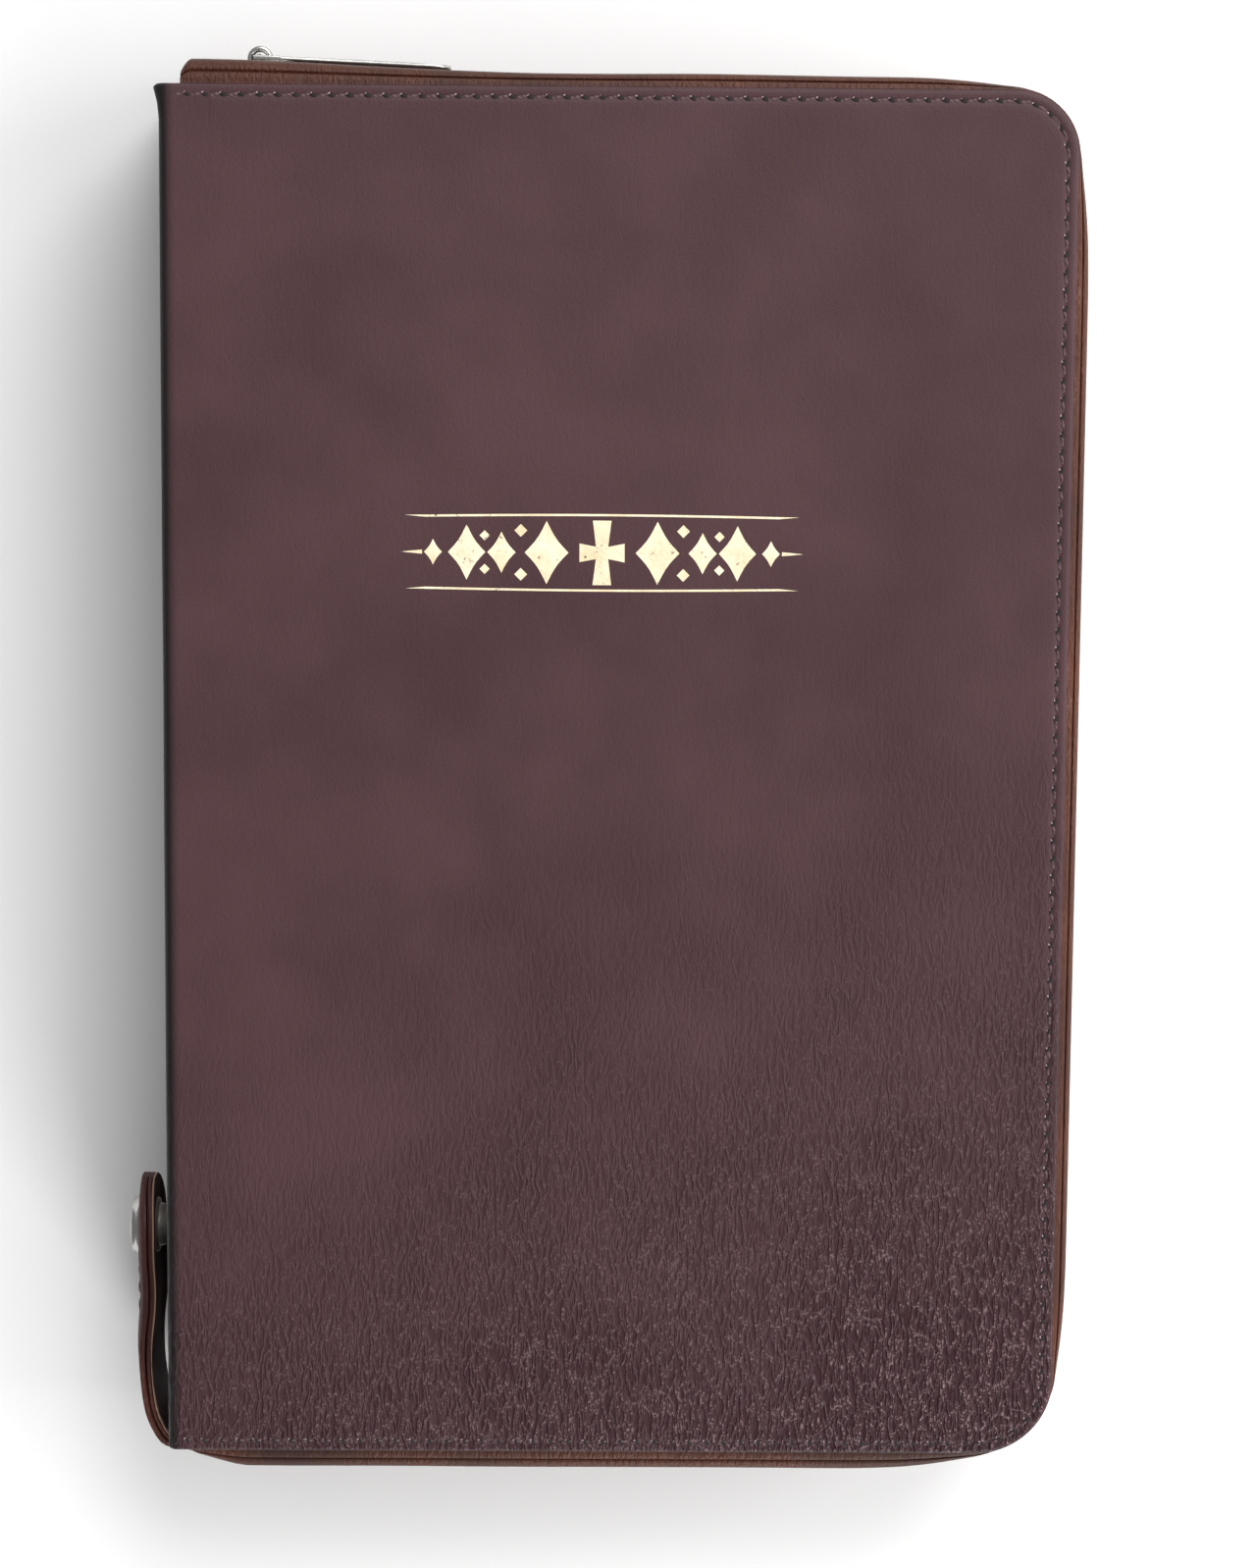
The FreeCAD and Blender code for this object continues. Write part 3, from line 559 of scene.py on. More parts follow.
def beads(name, points, paint, slot, body, pitch, size, up=(0, 0, 1), slant=0.0, jitter=0.0,
          stands_for=()):
    """Run the bead tree along a line of points, and keep the result as a plain mesh.

    A bead's size is its length, width and height in mm."""
    edges = [(k, k + 1) for k in range(len(points) - 1)]
    guide = new_piece(name + "_line", points, [], edges=edges)
    modifier = guide.modifiers.new("Beads", "NODES")
    modifier.node_group = BEADS
    identifiers = {item.name: item.identifier for item in BEADS.interface.items_tree
                   if item.in_out == "INPUT"}
    inputs = {"Pitch": pitch, "Slant": slant, "Jitter": jitter, "Up": up,
              "Material": paints[paint]}
    inputs.update(zip(("Length", "Width", "Height"), (side * MM for side in size)))
    for key, thing in inputs.items():
        modifier[identifiers[key]] = thing
    bpy.context.view_layer.update()
    graph = bpy.context.evaluated_depsgraph_get()
    result = bpy.data.meshes.new_from_object(guide.evaluated_get(graph))
    bpy.data.objects.remove(guide)
    result.name = name
    return dress(new_object(name, result), slot, body=body, stands_for=stands_for)


# ---- covers ------------------------------------------------------------------------------------

EDGE_STEPS = [d * MM for d in (0.0, 0.08, 0.22, 0.42, 0.7, 1.0, 1.3, 1.5, 1.65, 1.8, 2.05, 2.5, 3.2,
                               4.5, 6.5, 9.0, 12.0)]
INNER_RINGS = 26
EDGE_LIP = 0.6 * MM


def cover_rings():
    """For each ring from the middle out: its distance from the head and from the fore edge."""
    wide, tall = HALF_W - JOINT_EDGE, HALF_H
    last = EDGE_STEPS[-1]
    rings = []
    for k in range(INNER_RINGS):
        t = k / INNER_RINGS
        rings.append((wide + (last - wide) * t, tall + (last - tall) * t))
    return rings + [(d, d) for d in reversed(EDGE_STEPS)]


def cover_point(u, v, rings):
    """The place of grid line u (0 at the joint) and v (either side of the middle line)."""
    ring = max(u, abs(v))
    fore_gap, head_gap = rings[ring]
    out_x, out_y = HALF_W - fore_gap, HALF_H - head_gap
    corner = HEAD_CORNER if v > 0 else CORNER
    radius = max(corner - fore_gap, 0.0) if ring >= INNER_RINGS else 0.0
    if ring == 0:
        return JOINT_EDGE, 0.0, fore_gap
    turn = 0.80
    if abs(v) >= u:
        s = u / ring
        angle = math.pi / 2 - math.pi / 4 * max(0.0, s - turn) / (1 - turn)
        straight = min(s / turn, 1.0)
        x = JOINT_EDGE + (out_x - radius - JOINT_EDGE) * straight + radius * math.cos(angle)
        y = out_y - radius + radius * math.sin(angle)
    else:
        s = abs(v) / ring
        angle = math.pi / 4 * max(0.0, s - turn) / (1 - turn)
        x = out_x - radius + radius * math.cos(angle)
        y = (out_y - radius) * min(s / turn, 1.0) + radius * math.sin(angle)
    if radius == 0.0 and abs(v) >= u:
        x = JOINT_EDGE + (out_x - JOINT_EDGE) * (u / ring)
    if radius == 0.0 and abs(v) < u:
        y = out_y * (abs(v) / ring)
    return x, math.copysign(y, v), min(fore_gap, head_gap)


def edge_height(gap):
    """How far the leather's face lies below its full height at a distance from the edge."""
    drop = 0.0
    if gap < EDGE_LIP:
        drop = EDGE_LIP - math.sqrt(max(EDGE_LIP ** 2 - (EDGE_LIP - gap) ** 2, 0.0))
    groove = 0.17 * MM * math.exp(-((gap - STITCH_INSET) / (0.34 * MM)) ** 2)
    pillow = 0.06 * MM * math.exp(-((gap - 3.4 * MM) / (1.6 * MM)) ** 2)
    return drop + groove - pillow


def make_cover(side):
    """Outer leather: rolled edge, pressed stitch line, and a slightly uneven face."""
    rings = cover_rings()
    last = len(rings) - 1
    columns = 2 * last + 1
    size = (last + 1) * columns
    points, under = [], []
    for u in range(last + 1):
        for v in range(-last, last + 1):
            x, y, gap = cover_point(u, v, rings)
            drop = edge_height(gap)
            inner = ease(gap, 2.5 * MM, 12 * MM) * ease(x, JOINT_EDGE, JOINT_EDGE + 9 * MM)
            uneven = noise.noise((x * 28, y * 28, 3.0)) * 0.10 * MM * inner
            points.append((x, y, level(side, drop - min(uneven, 0.0))))
            lift = min(drop, EDGE_LIP) if gap < EDGE_LIP else 0.0
            under.append((x, y, level(side, LEATHER - lift)))
    faces = quads(last + 1, columns)
    faces += [tuple(size + k for k in face) for face in faces]
    faces += [(v, v + 1, size + v + 1, size + v) for v in range(columns - 1)]
    skin = outward(new_piece(f"{side}_cover_skin", points + under, faces, smooth=True))
    dress(skin, "cover_leather", paints["cover"], body=f"{side}_cover",
          stands_for=[f"{side}_cover_leather"])
    stitch_row(side)


def stitch_row(side):
    """Lockstitch along the head, fore edge and tail: slanting threads between needle holes."""
    line = case_line(-STITCH_INSET, AXIS_X + 1.6 * MM, 1.0 * MM)
    sunk, rise = level(side, 0.15 * MM), level(side, 0.16 * MM)
    threads = [(x, y, rise) for x, y, *_ in line]
    start = line[0][0] + STITCH_PITCH / 2
    # holes: dark beads at the needle holes, painted shade inside them.
    holes = [(start, line[0][1], sunk)]
    holes += [(x, y, sunk) for x, y, *_ in line if y <= 0 or x >= start + 0.2 * MM]
    # ends: a pale bead up and to the left of each hole, a painted highlight on the thread.
    ends = [(x - (0.42 + 0.1 * nx) * MM * abs(ny) - 0.3 * MM * abs(nx), y + 0.30 * MM, rise)
            for (x, y, _), (_, _, nx, ny) in zip(holes, [line[0]] + line)]
    for name, path, paint, size, slant, jitter in (
            ("cover_stitches", threads, "stitch", (2.05, 0.52, 0.5), 0.16, 0.09),
            ("needle_holes", holes, "hole_shade", (1.35, 0.84, 0.5), -0.5, 0.25),
            ("painted_stitch_glints", ends, "painted_stitch_glint", (0.56, 0.29, 0.5), 0.4, 0.5)):
        beads(f"{side}_{name}", path, paint, "thread", f"{side}_cover", STITCH_PITCH, size,
              outside(side), slant, jitter)


# ---- spine and its two folded joints -----------------------------------------------------------

def wrapped_leather(name, profile):
    """A strip that follows a profile in X and Z along the book's height, rolled in at both ends."""
    steps = 90
    lip = LEATHER / 2
    outer = [np.array(p, float) for p in profile]
    normals = []
    for k in range(len(outer)):
        ahead = outer[min(k + 1, len(outer) - 1)] - outer[max(k - 1, 0)]
        ahead /= np.linalg.norm(ahead)
        normals.append(np.array((-ahead[1], ahead[0])))
    ends = [lip * share for share in (0.0, 0.06, 0.2, 0.45, 0.75, 1.0)]
    inside = [HALF_H - lip - (2 * HALF_H - 2 * lip) * k / steps for k in range(1, steps)]
    rows = [(HALF_H - e, e) for e in ends] + [(y, lip) for y in inside]
    rows += [(-HALF_H + e, e) for e in reversed(ends)]
    sections = []
    for y, gap in rows:
        share = math.sqrt(max(1 - (1 - min(gap / lip, 1.0)) ** 2, 0.0004))
        fold = 0.95 * MM * math.exp(-((HALF_H - 1.2 * MM - y) / (1.5 * MM)) ** 2)
        front, back = [], []
        for p, n in zip(outer, normals):
            uneven = noise.noise((p[0] * 60, y * 35, p[1] * 60)) * 0.05 * MM
            rolled = fold * ease(-p[0], -AXIS_X, -SPINE_X)
            face = p + n * lip * (1 - share) + n * max(uneven, 0.0)
            front.append((face[0] - rolled, y, face[1]))
            inner = p + n * lip * (1 + share)
            back.append((inner[0], y, inner[1]))
        sections.append(front + back[::-1])
    return loft(name, sections)


def make_spine():
    """Three strips that meet edge to edge: the spine's face and a rolled joint to each cover."""
    arc_top = 4.8 * MM
    count = 24
    face = [(SPINE_X - 0.22 * MM * math.sin(math.pi * k / count),
             arc_top + (THICK - 2 * arc_top) * k / count) for k in range(count, -1, -1)]
    skin = wrapped_leather("spine_skin", face)
    dress(skin, "cover_leather", paints["cover"], body="spine", stands_for=["spine_leather"])
    for side in SIDES:
        roll = [(SPINE_X, arc_top - (arc_top - BEAD) * k / 5) for k in range(5)]
        bend = [math.pi / 2 * k / 12 for k in range(13)]
        roll += [(AXIS_X - BEAD * math.cos(a), BEAD - BEAD * math.sin(a)) for a in bend]
        roll += [(AXIS_X + (JOINT_EDGE - AXIS_X) * k / 8, 0.0) for k in range(1, 9)]
        roll = [(x, level(side, z)) for x, z in roll]
        joint = wrapped_leather(f"{side}_joint_leather", roll if side == "back" else roll[::-1])
        dress(joint, "cover_leather", paints["cover"])
        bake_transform(joint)


def make_spine_ends():
    """The spine's board stops short of the leather, which turns in over it at the head and tail."""
    low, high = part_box("spine_stiffener")
    stop = high.y - 1.9 * MM
    board = slab("spine_board", (low.x, -stop, low.z), (high.x, stop, high.z), 0.12 * MM)
    dress(board, "board", paints["board"], body="spine", stands_for=["spine_stiffener"])
    for end, sign in (("head", 1), ("tail", -1)):
        first, last = sorted((sign * (stop + 0.05 * MM), sign * (high.y - 0.1 * MM)))
        turn = slab(f"spine_{end}_turn_in", (low.x, first, low.z), (high.x, last, high.z), 0.3 * MM, 4)
        dress(turn, "lining", paints["lining"], body="spine")


# ---- side walls --------------------------------------------------------------------------------

def wall_bulge(x, y, nx, ny):
    """How far the side wall stands out, round the case: fullest at the tail and the zip's end."""
    head = 2.2 + 1.7 * (1 - ease(x, -0.066, -0.010))
    tail = 3.6 * (0.30 + 0.70 * ease(x, -0.069, -0.0575))
    fore = 2.4
    share = (head if ny > 0 else tail) * ny * ny + fore * nx * nx
    gap = math.hypot(HALF_W - 4 * MM - x, HALF_H - 4 * MM - abs(y))
    share *= 1 - 0.9 * math.exp(-(gap / (13 * MM)) ** 2)
    share *= math.sqrt(ease(x, AXIS_X + 0.9 * MM, AXIS_X + 3.4 * MM))
    ripple = noise.noise((x * 40, ny * 3.0 + nx, 5.0)) * 0.16
    return (share + ripple) * MM


def wall_profile(bulge, foot):
    """Outer face from under the cover's edge, round the bulge, to the rolled edge by the zip."""
    top = 1.25 * MM
    outer = [(-1.4 * MM, top)]
    outer += [(share * bulge, top + z * MM)
              for share, z in ((0.1, 0.05), (0.42, 0.3), (0.5, 0.95), (0.62, 0.7), (0.9, 1.5),
                               (1.0, 3.0), (0.97, 5.0), (0.88, 7.4))]
    outer += [(share * bulge, foot - z * MM) for share, z in ((0.82, 2.2), (0.86, 1.2), (0.86, 0.5))]
    outer = [tuple(p) for p in smooth_path(outer, each=3)]
    lip = [(0.84 * bulge - 0.25 * MM, foot - 0.08 * MM), (0.84 * bulge - 0.65 * MM, foot)]
    inner = [(max(x - 1.1 * MM, -1.4 * MM), min(z + 0.75 * MM, foot - 0.25 * MM))
             for x, z in outer[::-1]]
    return outer + lip + inner


def make_gusset(side):
    """The U-shaped leather wall, the seam that holds the zip's tape, and the flange's raw edge."""
    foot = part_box("back_gusset")[1].z
    sections, seam = [], []
    for x, y, nx, ny in case_line(0.0, AXIS_X + 1.8 * MM, 1.8 * MM):
        bulge = wall_bulge(x, y, nx, ny)
        sections.append([(x + nx * out, y + ny * out, level(side, z))
                         for out, z in wall_profile(bulge, foot)])
        out = 0.86 * bulge + 0.02 * MM
        seam.append((x + nx * out, y + ny * out, level(side, foot - 1.3 * MM)))
    wall = loft(f"{side}_gusset_wall", sections)
    dress(wall, "gusset_leather", paints["gusset"], body=f"{side}_cover",
          stands_for=[f"{side}_gusset"])
    beads(f"{side}_gusset_seam", seam[2:-2], "pale_stitch", "thread", f"{side}_cover", 3.4 * MM,
          (2.3, 0.45, 0.5), outside(side), jitter=0.05)
    case_cord(f"{side}_flange_edge", case_line(0.12 * MM, AXIS_X + 1.8 * MM), 0.28 * MM, 0.24 * MM,
              level(side, 1.45 * MM), "gusset_leather", "strap", f"{side}_cover")


def case_cord(name, line, wide, tall, z, slot, paint, body):
    """A thin round cord that runs round the case at one level."""
    sections = [[(x + nx * wide * c, y + ny * wide * c, z + tall * s) for c, s in circle(8)]
                for x, y, nx, ny in line]
    dress(loft(name, sections), slot, paints[paint], body=body)


def make_end_tabs(side):
    for end in ("head", "tail"):
        node = f"{side}_{end}_end_tab"
        low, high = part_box(node)
        tab = slab(f"{node}_leather", low, high, 0.35 * MM)
        dress(tab, "gusset_leather", paints["gusset"], body=f"{side}_cover", stands_for=[node])


# ---- zip ---------------------------------------------------------------------------------------

TOOTH_PITCH = 1.5 * MM


def make_teeth(side):
    """Rounded turns of the coil; the two rows are half a pitch apart, so that they mesh.

    Behind them lie the tape's edge, which closes the gap, and the cord inside the coil."""
    low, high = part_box(f"{side}_zipper_teeth")
    body = f"{side}_cover"
    grow = high.y - HALF_H - 1.1 * MM
    inward, shift, foot = (1, 0.0, low.z) if side == "back" else (-1, TOOTH_PITCH / 2, high.z)
    z = (low.z + high.z) / 2 + inward * 0.45 * MM
    line = case_line(grow, low.x + 0.4 * MM + shift, 1.0 * MM)
    beads(f"{side}_zip_coil", [(x, y, z) for x, y, *_ in line], "teeth", "zip_teeth", body,
          TOOTH_PITCH, (0.73, 2.0, 3.0), stands_for=[f"{side}_zipper_teeth"])
    near, far = foot - inward * 0.6 * MM, MID - inward * 0.55 * MM
    corners = ((0.0, near), (0.16 * MM, near), (0.16 * MM, far), (0.0, far))
    backing = [[(x + nx * out, y + ny * out, z) for out, z in corners]
               for x, y, nx, ny in case_line(grow - 1.25 * MM, low.x)]
    dress(loft(f"{side}_zip_tape_edge", backing), "zip_tape", paints["tape"], body=body)
    case_cord(f"{side}_zip_cord", case_line(grow, low.x), 0.55 * MM, 0.5 * MM,
              foot + inward * 0.35 * MM, "zip_tape", "tape", body)


def make_stops():
    for node, body in (("back_top_stop", "back_cover"), ("front_top_stop", "front_cover"),
                       ("zip_bottom_stop", "back_cover")):
        low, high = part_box(node)
        stop = slab(f"{node}_clip", low, high, 0.4 * MM)
        dress(stop, "nickel", paints["nickel"], body=body, stands_for=[node])


def plate_outline(length, width):
    """Half of a slider plate seen from outside: a shoulder at the front, rounded at the back."""
    half, side = length / 2, width / 2
    return [(-half, 0.30 * side), (-half + 0.6 * MM, 0.72 * side), (-half * 0.3, side * 0.9),
            (half * 0.35, side), (half * 0.8, side * 0.96), (half, side * 0.62), (half, side * 0.2)]


def make_slider():
    """Two shaped plates, the wedge between the rows, and the round bridge over the outer plate."""
    low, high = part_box("zipper_slider")
    centre_x, length, width = (low.x + high.x) / 2, high.x - low.x, high.z - low.z
    outer_face = high.y - 3.8 * MM
    slot_high = outer_face - 1.2 * MM
    half_outline = [tuple(p) for p in smooth_path(plate_outline(length, width), 0.5 * MM)]
    ring = half_outline + [(x, -z) for x, z in half_outline[::-1]]
    pieces = []
    for name, face, out in (("outer", outer_face, 1), ("inner", low.y, -1)):
        sections = []
        for depth, inset in ((0.0, 0.45), (0.12, 0.18), (0.35, 0.0), (1.0, 0.0), (1.15, 0.06),
                             (1.2, 0.2)):
            y = face - out * depth * MM
            shrink = 1 - inset * MM / (width / 2)
            sections.append([(centre_x + x * shrink, y, MID + z * shrink) for x, z in ring])
        pieces.append(loft("slider_" + name, sections))
    wedge_x = centre_x + length / 2 - 3.0 * MM
    pieces.append(slab("slider_wedge", (wedge_x, low.y + 0.6 * MM, MID - 0.5 * MM),
                       (high.x - 0.1 * MM, slot_high + 0.6 * MM, MID + 0.5 * MM), 0.18 * MM))
    reach, crown = 1.55 * MM, outer_face + 1.7 * MM
    leg = [(reach, crown - 0.2 * MM), (reach, outer_face - 0.4 * MM)]
    arch = [(-reach * math.cos(a), crown + 1.5 * MM * math.sin(a))
            for a in (math.pi * k / 14 for k in range(15))]
    path = [(centre_x + x, y) for x, y in [(-x, y) for x, y in leg[::-1]] + arch + leg]
    sections = []
    for k, (x, y) in enumerate(path):
        before, after = path[max(k - 1, 0)], path[min(k + 1, len(path) - 1)]
        dx, dy = after[0] - before[0], after[1] - before[1]
        half_thick = 0.5 * MM / math.hypot(dx, dy)
        sections.append([(x - dy * half_thick * boxed(c, 0.6), y + dx * half_thick * boxed(c, 0.6),
                          MID + 1.2 * MM * boxed(s, 0.6)) for c, s in circle(16)])
    pieces.append(loft("slider_bridge", sections))
    slider = join("zip_slider", *pieces)
    dress(slider, "nickel", paints["nickel"], body="slider", stands_for=["zipper_slider"])


def make_pull():
    """A long flat bar, split round the bridge, with a crossbar and softly rounded edges."""
    low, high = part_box("zipper_pull")
    root_x = sum(corner.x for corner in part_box("zipper_slider")) / 2
    y = (low.y + high.y) / 2
    half_width, thick, crossbar = (high.z - low.z) / 2, 0.42 * MM, 0.6 * MM
    end, tip_length = high.x, 2.2 * MM

    def bar(name, x0, x1, z_low, z_high, half_thick=thick):
        places = [x0 + (x1 - tip_length - x0) * k / 22 for k in range(22)]
        rounded = [x1 - tip_length + tip_length * math.sin(math.pi / 2 * k / 9) for k in range(1, 10)]
        places += rounded if x1 == end else [x1]
        middle, half = (z_low + z_high) / 2, (z_high - z_low) / 2
        sections = []
        for x in places:
            left = max(0.0, 1 - (end - x) / tip_length)
            tip = math.sqrt(max(1 - left ** 2, 0.03))
            waist = 1 - 0.12 * math.sin(math.pi * ease(x, root_x, end))
            lean = 1.2 * MM * max(0.0, (x - root_x) / (end - root_x)) ** 1.1
            sections.append([(x, y - lean + half_thick * boxed(c, 0.5) * (0.6 + 0.4 * tip),
                              MID + (middle - MID + half * boxed(s, 0.3)) * tip * waist)
                             for c, s in circle(24)])
        return loft(name, sections)

    window_end = root_x + 3.0 * MM
    pieces = [bar("pull_blade", window_end - 0.3 * MM, end, MID - half_width, MID + half_width),
              bar("pull_panel", window_end + 4.0 * MM, end - 4.0 * MM, MID - 1.35 * MM,
                  MID + 1.35 * MM, thick + 0.10 * MM)]
    for sign in (-1, 1):
        near, far = sorted((MID + sign * 1.6 * MM, MID + sign * half_width))
        pieces.append(bar("pull_arm", root_x - 0.9 * MM, window_end + 0.4 * MM, near, far))
    sections = [[(root_x + crossbar * c, y + crossbar * s, MID + half_width * 0.93 * (k / 4 - 1))
                 for c, s in circle(18)] for k in range(9)]
    pieces.append(loft("pull_crossbar", sections))
    pull = join("zip_pull", *pieces)
    dress(pull, "nickel", paints["nickel"], body="pull", stands_for=["zipper_pull"])


# ---- strap and snap ----------------------------------------------------------------------------

def strap_layer(name, depth, thickness, paint, slot, shrink, stands_for=()):
    """One layer of the strap: it wraps the tail corner, runs up the spine and ends round."""
    outer_x, tip, tail = STRAP_LOW.x, STRAP_HIGH.y, -HALF_H
    half = (STRAP_HIGH.z - STRAP_LOW.z) / 2 - shrink
    route = [(SPINE_X + 3.6 * MM, tail - 2.2 * MM), (SPINE_X + 0.5 * MM, tail - 2.6 * MM),
             (SPINE_X - 2.2 * MM, tail - 1.7 * MM), (outer_x + 1.5 * MM, tail + 2.2 * MM),
             (outer_x + 0.55 * MM, tail + 7.0 * MM), (outer_x - 0.15 * MM, tail + 15.0 * MM),
             (outer_x + 0.25 * MM, tail + 22.5 * MM), (outer_x, tail + 29.0 * MM),
             (outer_x, (tip + tail + 29.0 * MM) / 2), (outer_x + 0.15 * MM, tip - 0.2 * MM)]
    line = smooth_path(route, 0.8 * MM)
    sections = []
    for k, p in enumerate(line):
        ahead = line[min(k + 1, len(line) - 1)] - line[max(k - 1, 0)]
        ahead /= np.linalg.norm(ahead)
        inward = np.array((ahead[1], -ahead[0]))
        left = max(tip - p[1], 0.0)
        wide = half * math.sqrt(max(1 - max(0.0, 1 - left / half) ** 2, 0.0025)) if k > 12 else half
        cupped = 0.85 * MM * ease(p[1], tail + 6 * MM, tail + 20 * MM)
        section = []
        for c, s in circle(28):
            off = depth + thickness / 2 * (1 - boxed(c, 0.4)) + cupped * (wide * s / half) ** 2
            spot = p + inward * off
            section.append((spot[0], spot[1], MID + wide * boxed(s, 0.25)))
        sections.append(section)
    layer = loft(name, sections)
    dress(layer, slot, paints[paint], stands_for=stands_for)
    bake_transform(layer)


def make_strap():
    """Four layers, the seam that holds the strap's end, and the stitching along its edge."""
    strap_layer("strap_front_leather", 0.0, 1.15 * MM, "strap", "gusset_leather", 0.0,
                ["strap_outer", "strap_anchor"])
    strap_layer("strap_back_leather", 1.17 * MM, 0.75 * MM, "strap", "strap_lining", 0.1 * MM,
                ["strap_lining"])
    strap_layer("strap_raw_edge", 1.93 * MM, 0.22 * MM, "tan", "strap_lining", 0.05 * MM)
    strap_layer("strap_inside", 2.16 * MM, 0.13 * MM, "lining", "strap_lining", 0.75 * MM)
    x, start, stop = STRAP_LOW.x + 0.42 * MM, 12.0 * MM - HALF_H, STRAP_HIGH.y - 10.5 * MM
    half = STRAP_HIGH.z - MID - 1.7 * MM
    straight = [(x, start + k * MM, MID - half) for k in range(int((stop - start) / MM))]
    bend = [(x, straight[-1][1] + half * math.sin(a), MID - half * math.cos(a))
            for a in (math.pi * k / 24 for k in range(1, 24))]
    edge = straight + bend + [(x, y, 2 * MID - z) for x, y, z in reversed(straight)]
    seam = [(SPINE_X + 1.3 * MM, -HALF_H - 2.62 * MM, MID - 6.6 * MM + k * MM) for k in range(14)]
    beads("strap_end_seam", seam, "pale_stitch", "thread", "spine", 2.2 * MM, (1.6, 0.4, 0.4),
          (0, -1, 0))
    beads("strap_stitches", edge, "stitch", "thread", "strap", 2.9 * MM, (2.1, 0.45, 0.45),
          (-1, 0, 0))


def make_snap():
    """Domed cap and socket on the strap, and the stud on the spine that the socket grips."""
    low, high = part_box("snap_cap")
    y = (low.y + high.y) / 2
    rise, rim = 1.5 * MM, (high.y - low.y) / 2
    flat, proud = 0.85 * MM, 0.45 * MM
    dome = [(rise + 0.25 * MM, 0.0), (rise + 0.25 * MM, rim * 0.80), (rise + 0.1 * MM, rim * 0.93),
            (rise - 0.15 * MM, rim), (rise - 0.45 * MM, rim * 0.985), (rise - 0.62 * MM, rim * 0.93)]
    bulge = (rim ** 2 + flat ** 2) / (2 * flat)
    for k in range(10):
        r = rim * 0.90 * (1 - k / 9)
        dome.append((bulge - math.sqrt(bulge ** 2 - (r * 1.02) ** 2) - proud, r))
    cap = lathe("snap_dome", dome, (low.x, y, MID))
    dress(cap, "nickel", paints["nickel"], body="strap", stands_for=["snap_cap"])
    low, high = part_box("snap_socket")
    r, depth = (high.y - low.y) / 2, high.x - low.x
    ring = [(0.0, 0.0), (0.0, r * 0.96), (0.25 * MM, r), (0.55 * MM, r * 0.97), (0.7 * MM, r * 0.8),
            (depth - 0.25 * MM, r * 0.72), (depth - 0.03 * MM, r * 0.66), (depth, r * 0.56),
            (depth - 0.12 * MM, r * 0.47), (0.5 * MM, r * 0.44), (0.4 * MM, 0.0)]
    socket = lathe("snap_socket_ring", ring, (low.x, y, MID))
    dress(socket, "nickel", paints["satin"], body="strap", stands_for=["snap_socket"])
    low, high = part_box("snap_stud")
    r, tall = (high.y - low.y) / 2, high.x - low.x
    stud = [(tall, 0.0), (tall, r), (tall - 0.25 * MM, r), (tall - 0.42 * MM, r * 0.92),
            (tall - 0.5 * MM, 1.5 * MM), (1.2 * MM, 1.3 * MM), (0.6 * MM, 1.62 * MM),
            (0.15 * MM, 1.4 * MM), (0.0, 0.8 * MM), (0.0, 0.0)]
    post = lathe("snap_stud_post", stud, (low.x, y, MID))
    dress(post, "nickel", paints["satin"], body="spine", stands_for=["snap_stud"])


# ---- text block --------------------------------------------------------------------------------

def page_corner_line(half_x0, half_x1, half_y, radius, per_side=40, arc=10):
    """A sheet's outline with round corners at the fore edge, as closed points."""
    top = [(half_x0 + (half_x1 - radius - half_x0) * k / per_side, half_y) for k in range(per_side)]
    bend = [(half_x1 - radius + radius * math.sin(a), half_y - radius + radius * math.cos(a))
            for a in (math.pi / 2 * k / arc for k in range(arc + 1))]
    down = [(half_x1, (half_y - radius) * (1 - k / 20)) for k in range(1, 20)]
    upper = top + bend + down
    return upper + [(half_x1, 0.0)] + [(x, -y) for x, y in reversed(upper)]


def make_pages(side):
    """Half of the leaves: gilt rounded edges, and a face that rolls down into the gutter."""
    low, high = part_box(f"{side}_page_block")
    outer_z = low.z if side == "back" else THICK - high.z
    inner_z = high.z if side == "back" else THICK - low.z
    outline = page_corner_line(low.x, high.x, high.y, 8.0 * MM)
    layers = [(0.0, 0.35), (0.12, 0.1), (0.35, 0.0)] + [(k, 0.0) for k in (2, 4, 6, 8, 10, 12)]
    depth = (inner_z - outer_z) / MM
    layers += [(depth - 0.3, 0.0), (depth - 0.08, 0.08), (depth, 0.25)]
    sections = []
    for up, inset in layers:
        section = []
        for x, y in outline:
            share = up / depth
            near_spine = ease(low.x + 7 * MM - x, 0.0, 7 * MM)
            round_back = 6.0 * MM * (1 - math.sqrt(max(1 - near_spine ** 2, 0.0))) * (1 - share) ** 2
            dip = 1.9 * MM * math.exp(-((x - low.x) / (7.0 * MM)) ** 2) * share ** 2
            fan = 0.25 * MM * math.sin(share * 9.0 + x * 40) * ease(x, 0.02, high.x)
            px = x - inset * MM * (1 if x > 0 else -1) + (fan if 0.1 < share < 0.9 else 0.0)
            py = y - math.copysign(inset * MM, y)
            z = outer_z + up * MM + round_back - dip
            section.append((px, py, level(side, z)))
        sections.append(section)
    rows, columns = len(sections), len(outline)
    points = [p for section in sections for p in section]
    faces = quads(rows, columns, close_columns=True)
    edge_count = len(faces)
    half = columns // 2
    for base in (0, (rows - 1) * columns):
        faces += [(base + k, base + k + 1, base + columns - 2 - k, base + columns - 1 - k)
                  for k in range(half - 1)]
    block = new_piece(f"{side}_pages_block", points, faces)
    for index, polygon in enumerate(block.data.polygons):
        polygon.material_index = 0 if index < edge_count else 1
        polygon.use_smooth = index < edge_count
    outward(block)
    dress(block, "pages", paints["edges"], paints["paper"], body=f"{side}_pages",
          stands_for=[f"{side}_page_block"])


